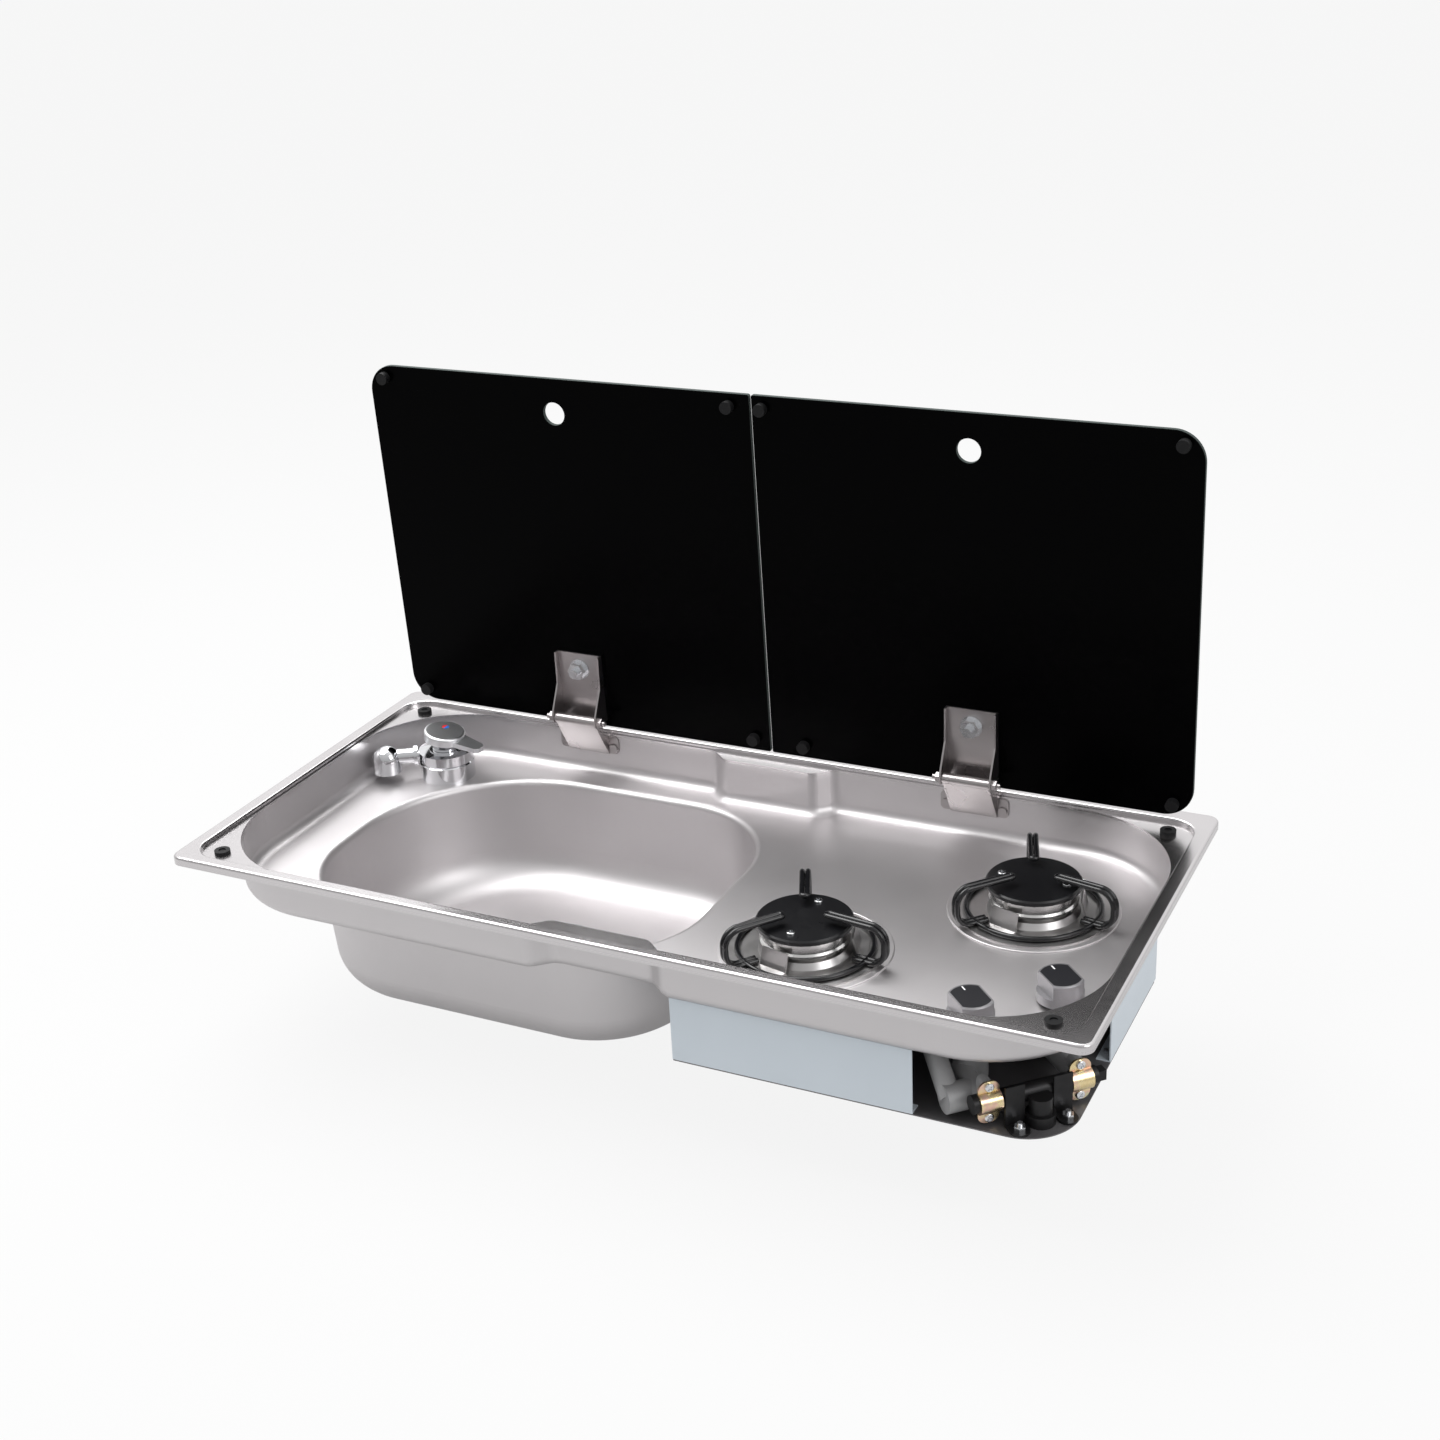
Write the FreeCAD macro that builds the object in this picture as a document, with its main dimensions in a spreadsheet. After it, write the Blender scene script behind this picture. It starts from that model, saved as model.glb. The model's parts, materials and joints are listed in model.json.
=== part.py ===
import FreeCAD, Part
import Sketcher
import math
import os
import re

# A drop-in kitchen unit for a motorhome: a pressed steel tray with a sink bowl on the left, a gas hob with
# two burners on the right, and a pair of black glass lids on friction hinges along the rear edge.
# Frame: +X right, +Y rear, +Z up. The origin is the centre of the rim, on the worktop that it rests on.

SIZES = {
    # Rim and tray
    "rim_length": 775,
    "rim_width": 365,
    "rim_corner_radius": 10,
    "rim_height": 7.5,
    "rim_edge_radius": 2.5,
    "sheet_gauge": 1,
    "cut_overrun": 1,
    "side_strip": 13,
    "front_strip": 11.5,
    "rear_strip": 17.5,
    "opening_corner_radius": 22,
    "opening_edge_radius": 2,
    "ledge_depth": 4,
    "wall_step": 1.5,
    "recess_depth": 44,
    "recess_corner_radius": 95,
    "recess_floor_radius": 9,
    "centre_ledge_width": 116,
    "centre_ledge_front": 84,
    "centre_ledge_reach": 14,
    "centre_ledge_radius": 13,
    "gasket_clearance": 0.3,
    # Rubber buttons on the corner ledges
    "button_side": 21,
    "button_front": 15,
    "button_rear": 18,
    "button_radius": 6.5,
    "button_height": 3,
    "button_dimple_radius": 3,
    "button_dimple_depth": 1,
    # Sink bowl
    "bowl_left_inset": 53,
    "bowl_burner_gap": 99,
    "bowl_front_inset": 34.5,
    "bowl_rear_inset": 30.5,
    "bowl_corner_radius": 95,
    "bowl_tap_corner_radius": 143,
    "bowl_corner_straight": 4,
    "bowl_depth": 99,
    "bowl_draft": 4,
    "bowl_floor_radius": 34,
    "bowl_lip_radius": 6,
    "bowl_lip_land": 0.1,
    # Waste outlet
    "waste_rear_shift": 21,
    "waste_flange_radius": 33,
    "waste_flange_height": 2.5,
    "waste_body_radius": 21,
    "waste_mouth_radius": 18,
    "waste_thread_length": 20,
    "waste_spigot_radius": 12.5,
    "waste_spigot_length": 24,
    "waste_wall": 2.5,
    "waste_nut_radius": 30,
    "waste_nut_height": 10,
    "waste_seal_height": 3,
    "waste_hole_clearance": 0.5,
    "thread_fit": 0.05,
    "plug_clearance": 0.4,
    "plug_depth": 6,
    "plug_seat": 0.3,
    "plug_rim_radius": 22,
    "plug_rim_height": 3,
    "plug_grip_radius": 5,
    "plug_grip_height": 9,
    # Mixer tap
    "tap_side": 65,
    "tap_rear": 53.5,
    "tap_radius": 25,
    "tap_base_height": 17,
    "tap_edge": 2,
    "tap_post_radius": 15,
    "tap_post_height": 27,
    "tap_shank_radius": 15,
    "tap_shank_length": 26,
    "tap_hole_clearance": 0.5,
    "tap_nut_radius": 23,
    "tap_nut_height": 8,
    "tap_seal_height": 1.5,
    "tap_tail_radius": 5,
    "tap_tail_bore": 3.5,
    "tap_tail_length": 40,
    "tap_tail_spacing": 15,
    "spout_ring_height": 9,
    "spout_fit": 0.08,
    "spout_gap": 0.3,
    "spout_angle": 211,
    "spout_arm_radius": 7,
    "spout_neck_radius": 4.2,
    "spout_collar_gap": 0.8,
    "spout_collar_radius": 9.5,
    "spout_collar_length": 3.5,
    "spout_reach": 54.5,
    "outlet_radius": 13,
    "outlet_lift": 8,
    "outlet_skirt": 12,
    "outlet_bore_radius": 8,
    "outlet_bore_depth": 9,
    "turret_radius": 12,
    "turret_gap": 0.3,
    "spindle_radius": 5,
    "spindle_length": 10,
    "turret_height": 2,
    "tongue_length": 7,
    "tongue_width": 8.4,
    "tongue_over": 2.5,
    "lever_radius": 19,
    "lever_height": 8,
    "lever_edge_radius": 2.5,
    "lever_pivot_back": 8,
    "lever_pivot_height": 11,
    "lever_under": 2.5,
    "lever_pin_length": 17,
    "lever_pin_end": 0.5,
    "lever_pin_fit": 0.05,
    "lever_slot_clearance": 1.2,
    "lever_slot_side": 0.4,
    "lever_slot_depth": 6.2,
    "lever_pin_radius": 1.4,
    "lever_length": 41,
    "lever_tip_width": 13,
    "lever_root_width": 23,
    "lever_tip_corner": 3,
    "lever_tip_height": 4.5,
    "lever_angle": -4,
    "lever_droop": 9,
    # Glass lids
    "lid_half_gap": 0.8,
    "lid_side_margin": 17.9,
    "lid_front_gap": 12,
    "glass_gauge": 4,
    "glass_edge_radius": 0.7,
    "glass_outer_radius": 25,
    "glass_inner_radius": 2,
    "finger_hole_radius": 10,
    "finger_hole_drop": 31,
    "bumper_radius": 5.3,
    "bumper_height": 6,
    "bumper_side_inset": 16,
    "left_high_bumper_inset": 19,
    "left_low_bumper_inset": 15,
    "right_high_bumper_inset": 9,
    "right_low_bumper_inset": 31,
    "bumper_end_inset": 11,
    "lid_lean": 2.7,
    # Lid hinges
    "hinge_pin_reach": 21.5,
    "hinge_pin_height": 16,
    "hinge_pin_radius": 2.5,
    "hinge_pin_fit": 0.05,
    "hinge_barrel_radius": 4.5,
    "hinge_barrel_length": 41,
    "hinge_side_clearance": 0.4,
    "hinge_plate": 1.5,
    "hinge_web": 2.1,
    "hinge_glass_offset": 16.5,
    "hinge_glass_drop": 11,
    "hinge_leaf_height": 59,
    "hinge_ear_radius": 5,
    "hinge_ear_chamfer": 2,
    "hinge_ear_top_reach": 6,
    "hinge_nut_height": 44,
    "hinge_foot_outset": 9.5,
    "hinge_foot_top": 6,
    "hinge_foot_bottom": 23,
    "hinge_foot_corner": 4,
    "hinge_gusset_drop": 11,
    "hinge_rivet_outset": 4.5,
    "hinge_rivet_drop": 17,
    "hinge_rivet_radius": 2,
    "hinge_rivet_head_radius": 3.8,
    "hinge_rivet_head_height": 1.6,
    "hinge_rivet_fit": 0.05,
    "pin_nut_size": 4.6,
    "pin_nut_height": 4,
    "pin_end": 3,
    "lid_bolt_radius": 4,
    "lid_bolt_end": 5,
    "lid_bolt_head_radius": 11,
    "lid_bolt_head_height": 2.5,
    "lid_bolt_clearance": 0.3,
    "lid_nut_size": 8,
    "lid_nut_height": 7,
    "lid_nut_flange_radius": 9.5,
    "lid_nut_flange_height": 1.5,
    # Burners
    "front_burner_side": 246,
    "front_burner_front": 107.5,
    "rear_burner_side": 102,
    "rear_burner_rear": 105.5,
    "burner_ring_radius": 68.5,
    "burner_ring_width": 5,
    "burner_ring_height": 1.3,
    "burner_ring_round": 0.9,
    "burner_hole_radius": 19,
    "burner_hole_clearance": 0.3,
    "burner_dish_radius": 61,
    "burner_dish_gauge": 1.4,
    "burner_pedestal_radius": 34,
    "burner_pedestal_slope": 3,
    "burner_pedestal_height": 5,
    "burner_flange_radius": 28,
    "burner_flange_height": 4,
    "burner_cup_depth": 30,
    "burner_cup_wall": 3,
    "burner_tube_radius": 8,
    "burner_tube_reach": 50,
    "burner_throat_radius": 4,
    "burner_head_radius": 34,
    "burner_head_height": 13,
    "burner_head_wall": 20,
    "burner_lip_reach": 1.5,
    "burner_lip_height": 2,
    "burner_port_radius": 1,
    "burner_port_count": 30,
    "burner_port_drop": 1.6,
    "burner_cap_radius": 38,
    "burner_cap_height": 4,
    "burner_cap_edge": 1.2,
    "cap_screw_offset": 26.5,
    "cap_screw_radius": 2,
    "cap_screw_head_radius": 3.4,
    "cap_screw_head_height": 1.6,
    "cap_screw_length": 9,
    "front_screw_angle": 90,
    "rear_screw_angle": 0,
    # Pan supports
    "wire_radius": 2.2,
    "wire_ring_radius": 53,
    "wire_foot": 43,
    "wire_reach": 70,
    "wire_tip": 22,
    "wire_bend": 13,
    "wire_pair": 4.7,
    "wire_top": 35,
    "front_support_angle": 113,
    "rear_support_angle": 109,
    "clip_width": 24,
    "clip_gauge": 1.2,
    "clip_foot_inner": 41,
    "clip_foot_outer": 49,
    "clip_top": 15,
    "clip_lean": 4,
    "clip_angle": 24,
    # Gas box under the hob
    "box_bowl_gap": 32,
    "box_side": 8,
    "box_front_inset": 5.5,
    "box_rear_reach": 22,
    "box_depth": 54,
    "box_gauge": 1,
    "box_flange": 10,
    "box_front_clear": 52.5,
    "box_side_clear": 43,
    "box_floor_corner": 42,
    "box_screw_radius": 1.8,
    "box_screw_head_radius": 3.2,
    "box_screw_head_height": 1.6,
    "box_screw_length": 5,
    "box_screw_fit": 0.05,
    # Gas taps and their knobs, set on a line across the front right corner
    "cluster_side": 67.5,
    "cluster_front": 78.5,
    "cluster_angle": 45,
    "knob_spacing": 72,
    "knob_radius": 17.5,
    "knob_edge": 0.8,
    "knob_flat": 12.5,
    "knob_gap": 3.4,
    "knob_height": 19,
    "knob_flat_height": 12,
    "knob_wall": 2.5,
    "knob_hollow": 6.5,
    "knob_boss_radius": 6.5,
    "inlay_margin": 1.2,
    "inlay_depth": 1,
    "stem_radius": 4,
    "stem_top": 15,
    "stem_depth": 20,
    "stem_travel": 4,
    "stem_fit": 0.06,
    "stem_hole_radius": 6,
    "collar_fit": 0.08,
    "collar_radius": 12,
    "collar_height": 3.5,
    "collar_lift": 2,
    "valve_radius": 13,
    "valve_block_width": 9,
    "valve_block_depth": 10,
    "valve_depth": 42,
    "valve_arm_radius": 7.5,
    "valve_shift": 9,
    "nozzle_radius": 11,
    "nozzle_offset": 27,
    "nozzle_drop": 39.5,
    "nozzle_reach": 34,
    "elbow_radius": 8,
    "elbow_inset": 5,
    "elbow_length": 36,
    "elbow_angle": -48,
    # Gas rail and its fixings
    "rail_offset": 47,
    "rail_depth": 35,
    "rail_radius": 7,
    "rail_wall": 1.5,
    "rail_length": 98,
    "rail_shift": 9,
    "rail_plug_size": 8,
    "rail_plug_length": 7,
    "clamp_width": 17,
    "clamp_gauge": 1.6,
    "clamp_height": 34,
    "clamp_corner": 7,
    "clamp_screw_spacing": 25,
    "clamp_screw_radius": 2.4,
    "clamp_screw_head_radius": 4,
    "clamp_screw_head_height": 2,
    "clamp_screw_length": 8,
    "clamp_screw_fit": 0.05,
    "bracket_spacing": 38,
    "bracket_width": 15,
    "bracket_gauge": 1.8,
    "bracket_height": 33,
    "bracket_foot": 9.5,
    "bracket_nut_size": 4.4,
    "bracket_nut_height": 3.5,
    "bracket_stud_radius": 2,
    "bracket_stud_length": 8,
    "bracket_stud_fit": 0.05,
    "union_radius": 8.5,
    "union_height": 22,
    "union_flange_radius": 11,
    "union_flange_height": 9,
    "union_reach": 11,
    "inlet_radius": 4.05,
    "inlet_depth": 12,
    "inlet_hole_radius": 6,
    # Pipes from the gas taps to the burners
    "pipe_radius": 3,
    "pipe_depth": 20,
    "jet_size": 6.5,
    "jet_length": 10,
    "jet_nose_radius": 3,
    "jet_nose_length": 6,
    "jet_gap": 4,
}

doc = FreeCAD.newDocument("sink_and_hob")
sheet = doc.addObject("Spreadsheet::Sheet", "sizes")
for row, (word, number) in enumerate(SIZES.items(), start=1):
    sheet.set(f"A{row}", word)
    sheet.set(f"B{row}", str(number))
    sheet.setAlias(f"B{row}", word)
doc.recompute()

# Levels and lines that several pieces share
OPEN_SIDE = "(rim_length / 2 - side_strip)"
OPEN_FRONT = "(front_strip - rim_width / 2)"
OPEN_REAR = "(rim_width / 2 - rear_strip)"
RECESS_SIDE = f"({OPEN_SIDE} - wall_step)"
RECESS_FRONT = f"({OPEN_FRONT} + wall_step)"
RECESS_REAR = f"({OPEN_REAR} - wall_step)"
BURNER_SPOTS = {
    "front": (f"({RECESS_SIDE} - front_burner_side)", f"({RECESS_FRONT} + front_burner_front)"),
    "rear": (f"({RECESS_SIDE} - rear_burner_side)", f"({RECESS_REAR} - rear_burner_rear)"),
}
BOWL_LEFT = f"(bowl_left_inset - {RECESS_SIDE})"
BOWL_RIGHT = f"({BURNER_SPOTS['front'][0]} - bowl_burner_gap)"
BOWL_FRONT = f"({RECESS_FRONT} + bowl_front_inset)"
BOWL_REAR = f"({RECESS_REAR} - bowl_rear_inset)"
BOWL_SIDE = f"({BOWL_REAR} - {BOWL_FRONT} - bowl_corner_straight)"
BOWL_TAP_RADIUS = f"min(bowl_tap_corner_radius; {BOWL_SIDE} - bowl_corner_radius)"
WASTE_SPOT = (f"(({BOWL_LEFT} + {BOWL_RIGHT}) / 2)", f"(({BOWL_FRONT} + {BOWL_REAR}) / 2 + waste_rear_shift)")
TAP_SPOT = (f"(tap_side - {RECESS_SIDE})", f"({RECESS_REAR} - tap_rear)")
CLUSTER_X = f"({RECESS_SIDE} - cluster_side)"
CLUSTER_Y = f"({RECESS_FRONT} + cluster_front)"
BOX_LEFT = f"({BOWL_RIGHT} + box_bowl_gap)"
BOX_RIGHT = f"({RECESS_SIDE} - box_side)"
BOX_FRONT = f"({RECESS_FRONT} + box_front_inset)"
BOX_REAR = f"({BURNER_SPOTS['rear'][1]} + box_rear_reach)"
BOX_FRONT_LENGTH = f"({CLUSTER_X} - box_front_clear - {BOX_LEFT})"
BOX_SIDE_FRONT = f"({CLUSTER_Y} + box_side_clear)"
LEDGE = "(rim_height - ledge_depth)"
DECK = "(rim_height - recess_depth)"
UNDERSIDE = f"({DECK} - sheet_gauge)"
BOWL_FLOOR = f"({DECK} - bowl_depth)"
BOWL_UNDER = f"({BOWL_FLOOR} - sheet_gauge)"
BOX_FLOOR = f"({UNDERSIDE} - box_depth)"
PIN_Y = f"({RECESS_REAR} - hinge_pin_reach)"
PIN_Z = "(rim_height + hinge_pin_height)"
GLASS_WIDTH = "(rim_length / 2 - lid_side_margin - lid_half_gap)"
GLASS_HEIGHT = f"({OPEN_REAR} - {OPEN_FRONT} - lid_front_gap)"
LID_X = f"(lid_half_gap + {GLASS_WIDTH} / 2)"
LEAF_FACE = "(hinge_glass_offset - hinge_plate)"
LEAF_WIDTH = "(hinge_barrel_length + 2 * hinge_side_clearance + 2 * hinge_plate)"
LEAF_INSIDE = "(hinge_barrel_length + 2 * hinge_side_clearance)"
FOOT_FACE = f"({RECESS_REAR} - hinge_plate)"
FLANGE_TOP = f"({DECK} + burner_dish_gauge + burner_pedestal_height + burner_flange_height)"
CAP_BASE = f"({FLANGE_TOP} + burner_head_height)"
RAIL_Z = f"({DECK} - rail_depth)"
PIPE_Z = f"({DECK} - pipe_depth)"
TAP_TOP = f"({DECK} + tap_post_height)"
CLAMP_HOLE = "(clamp_screw_radius + clamp_screw_fit)"
UNION_OFFSET = "(rail_offset + union_reach)"
UNION_X = f"({CLUSTER_X} - rail_shift * cos(cluster_angle) + {UNION_OFFSET} * sin(cluster_angle))"
UNION_Y = f"({CLUSTER_Y} - rail_shift * sin(cluster_angle) - {UNION_OFFSET} * cos(cluster_angle))"
UP = FreeCAD.Vector(0, 0, 1)
AXIS_X = FreeCAD.Vector(1, 0, 0)
AXIS_Y = FreeCAD.Vector(0, 1, 0)


def formula(text):
    """An expression on the sheet, from a formula in the sheet's own words."""
    return re.sub(r"[a-z]\w*", lambda word: f"sizes.{word[0]}" if word[0] in SIZES else word[0], text)


def value(text):
    """The number that a formula gives with the sheet's present sizes."""
    return float(sheet.evalExpression(formula(str(text))))


def bind(item, **sizes):
    """Tie an object's properties to formulas, and hand the object back."""
    for name, text in sizes.items():
        item.setExpression(name, formula(str(text)))
    return item


def place(item, x="0", y="0", z="0", axis=UP, angle="0"):
    """Set an object down at a point, turned about an axis by an angle in degrees."""
    item.Placement = FreeCAD.Placement(FreeCAD.Vector(), FreeCAD.Rotation(axis, value(angle)))
    for path, text in (("x", x), ("y", y), ("z", z)):
        item.setExpression(f"Placement.Base.{path}", formula(str(text)))
    if str(angle) != "0":
        item.setExpression("Placement.Rotation.Angle", formula(str(angle)))
    return item


def cylinder(name, radius, height, x="0", y="0", z="0", axis=UP, angle="0"):
    item = bind(doc.addObject("Part::Cylinder", name), Radius=radius, Height=height)
    return place(item, x, y, z, axis, angle)


def box(name, length, width, height, x="0", y="0", z="0", axis=UP, angle="0"):
    item = bind(doc.addObject("Part::Box", name), Length=length, Width=width, Height=height)
    return place(item, x, y, z, axis, angle)


def hexagon(name, size, height, x="0", y="0", z="0", axis=UP, angle="0"):
    item = bind(doc.addObject("Part::Prism", name), Circumradius=size, Height=height)
    item.Polygon = 6
    return place(item, x, y, z, axis, angle)


def fuse(name, *items):
    union = doc.addObject("Part::MultiFuse", name)
    union.Shapes = list(items)
    union.Refine = True
    return union


def cut(name, base, *tools):
    result = doc.addObject("Part::Cut", name)
    result.Base = base
    result.Tool = tools[0] if len(tools) == 1 else fuse(f"{name}_tools", *tools)
    return result


def group(name, *items):
    """Like pieces that stay separate solids and share one node."""
    holder = doc.addObject("Part::Compound", name)
    holder.Links = list(items)
    return holder


def new_body(name):
    return doc.addObject("PartDesign::Body", name)


def sketch_on(body, name, role="XY_Plane", offset="0"):
    """A sketch on one of the body's own planes, set off along the plane's normal."""
    sketch = body.newObject("Sketcher::SketchObject", name)
    plane = next(item for item in body.Origin.OriginFeatures if item.Role == role)
    sketch.AttachmentSupport = [(plane, "")]
    sketch.MapMode = "FlatFace"
    sketch.setExpression("AttachmentOffset.Base.z", formula(offset))
    return sketch


def drive(sketch, kind, text, *where):
    """A driving dimension of a sketch, tied to a formula."""
    index = sketch.addConstraint(Sketcher.Constraint(kind, *where, value(text)))
    sketch.setExpression(f"Constraints[{index}]", formula(text))


def polygon(sketch, corners):
    spots = [FreeCAD.Vector(value(x), value(y), 0) for x, y in corners]
    following = spots[1:] + spots[:1]
    sides = [sketch.addGeometry(Part.LineSegment(start, end)) for start, end in zip(spots, following)]
    for side, after in zip(sides, sides[1:] + sides[:1]):
        sketch.addConstraint(Sketcher.Constraint("Coincident", side, 2, after, 1))
    for side, (x, y) in zip(sides, corners):
        drive(sketch, "DistanceX", x, -1, 1, side, 1)
        drive(sketch, "DistanceY", y, -1, 1, side, 1)


def circle(sketch, radius, x="0", y="0"):
    centre = FreeCAD.Vector(value(x), value(y), 0)
    ring = sketch.addGeometry(Part.Circle(centre, UP, value(radius)))
    drive(sketch, "Radius", radius, ring)
    drive(sketch, "DistanceX", x, -1, 1, ring, 3)
    drive(sketch, "DistanceY", y, -1, 1, ring, 3)


def rounded_rectangle(sketch, left, right, front, rear, radii):
    """A rectangle with round corners. Radii run front left, front right, rear right, rear left."""
    corners = list(radii) if isinstance(radii, (list, tuple)) else [radii] * 4
    sides_x = [left, right, right, left]
    sides_y = [front, front, rear, rear]
    inward = [(1, 1), (-1, 1), (-1, -1), (1, -1)]
    centres = []
    for x, y, radius, (step_x, step_y) in zip(sides_x, sides_y, corners, inward):
        reach = value(radius)
        centres.append(FreeCAD.Vector(value(x) + step_x * reach, value(y) + step_y * reach, 0))
    arcs = []
    for number, (centre, radius) in enumerate(zip(centres, corners)):
        start = math.pi + number * math.pi / 2
        ring = Part.Circle(centre, UP, value(radius))
        arcs.append(sketch.addGeometry(Part.ArcOfCircle(ring, start, start + math.pi / 2)))
    lines = []
    for arc, after in zip(arcs, arcs[1:] + arcs[:1]):
        ends = Part.LineSegment(sketch.getPoint(arc, 2), sketch.getPoint(after, 1))
        line = sketch.addGeometry(ends)
        sketch.addConstraint(Sketcher.Constraint("Tangent", arc, 2, line, 1))
        sketch.addConstraint(Sketcher.Constraint("Tangent", line, 2, after, 1))
        lines.append(line)
    for line, kind in zip(lines, ("Horizontal", "Vertical", "Horizontal", "Vertical")):
        sketch.addConstraint(Sketcher.Constraint(kind, line))
    drive(sketch, "DistanceY", front, -1, 1, lines[0], 1)
    drive(sketch, "DistanceX", right, -1, 1, lines[1], 1)
    drive(sketch, "DistanceY", rear, -1, 1, lines[2], 1)
    drive(sketch, "DistanceX", left, -1, 1, lines[3], 1)
    for arc, radius in zip(arcs, corners):
        drive(sketch, "Radius", radius, arc)


def pad(body, sketch, length, downward=False, symmetric=False, taper=None):
    feature = body.newObject("PartDesign::Pad", f"{sketch.Name}_pad")
    feature.Profile = sketch
    feature.Reversed = downward
    if symmetric:
        feature.SideType = "Symmetric"
    bind(feature, Length=length)
    if taper:
        bind(feature, TaperAngle=taper)
    doc.recompute()
    return feature


def pocket(body, sketch, length, symmetric=False, upward=False, taper=None):
    """Cut a sketch into a body, and make sure that the cut took something away."""
    before = body.Shape.Volume
    feature = body.newObject("PartDesign::Pocket", f"{sketch.Name}_cut")
    feature.Profile = sketch
    feature.Reversed = upward
    if symmetric:
        feature.SideType = "Symmetric"
    bind(feature, Length=length)
    if taper:
        bind(feature, TaperAngle=taper)
    doc.recompute()
    if body.Shape.Volume >= before:
        raise RuntimeError(f"{sketch.Name} cuts nothing")
    return feature


def fillet(body, name, radius, chosen):
    """Round the edges of a body that a test picks out."""
    base = body.Tip
    names = [f"Edge{number}" for number, edge in enumerate(base.Shape.Edges, start=1) if chosen(edge)]
    if not names:
        raise RuntimeError(f"{name} finds no edge")
    feature = body.newObject("PartDesign::Fillet", name)
    feature.Base = (base, names)
    bind(feature, Radius=radius)
    doc.recompute()
    return feature


def level(edge, height):
    """True for an edge that lies flat at a height."""
    bounds = edge.BoundBox
    return abs(bounds.ZMin - height) < 1e-4 and abs(bounds.ZMax - height) < 1e-4


def upright(edge):
    bounds = edge.BoundBox
    return bounds.XLength < 1e-4 and bounds.YLength < 1e-4 and bounds.ZLength > 1e-3


# Tray: one sheet of stainless steel, pressed into a rim with a turned-down edge, shallow ledges and a deck
def opening(sketch, margin):
    rounded_rectangle(
        sketch,
        f"-{OPEN_SIDE} - {margin}",
        f"{OPEN_SIDE} + {margin}",
        f"{OPEN_FRONT} - {margin}",
        f"{OPEN_REAR} + {margin}",
        f"opening_corner_radius + {margin}",
    )


def recess(sketch, margin):
    rounded_rectangle(
        sketch,
        f"-{RECESS_SIDE} - {margin}",
        f"{RECESS_SIDE} + {margin}",
        f"{RECESS_FRONT} - {margin}",
        f"{RECESS_REAR} + {margin}",
        f"recess_corner_radius + {margin}",
    )


def rim_outline(sketch, margin):
    rounded_rectangle(
        sketch,
        f"-rim_length / 2 + {margin}",
        f"rim_length / 2 - {margin}",
        f"-rim_width / 2 + {margin}",
        f"rim_width / 2 - {margin}",
        f"rim_corner_radius - {margin}",
    )


def centre_ledge(sketch, wall, toward, margin, overrun):
    """A trapezium that stands out from a long wall: wide behind the wall, narrower at its front."""
    fold = "((centre_ledge_width - centre_ledge_front) / 2)"
    slant = f"sqrt({fold}^2 + centre_ledge_reach^2)"
    at_wall = f"(centre_ledge_width / 2 - {margin} * {slant} / centre_ledge_reach)"
    reach = f"(centre_ledge_reach - {margin})"
    wide = f"({at_wall} + ({overrun}) * {fold} / centre_ledge_reach)"
    narrow = f"({at_wall} - {reach} * {fold} / centre_ledge_reach)"
    back = f"{wall} - ({toward}) * ({overrun})"
    front = f"{wall} + ({toward}) * {reach}"
    polygon(sketch, [(f"-{wide}", back), (wide, back), (narrow, front), (f"-{narrow}", front)])


def bowl_outline(sketch, margin):
    rounded_rectangle(
        sketch,
        f"{BOWL_LEFT} - {margin}",
        f"{BOWL_RIGHT} + {margin}",
        f"{BOWL_FRONT} - {margin}",
        f"{BOWL_REAR} + {margin}",
        [f"bowl_corner_radius + {margin}"] * 3 + [f"{BOWL_TAP_RADIUS} + {margin}"],
    )


def near_centre_ledge(edge):
    reach = value("centre_ledge_width / 2 + cut_overrun")
    bounds = edge.BoundBox
    return upright(edge) and abs(bounds.XMin) < reach and bounds.ZLength > value("recess_depth / 2")


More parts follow.
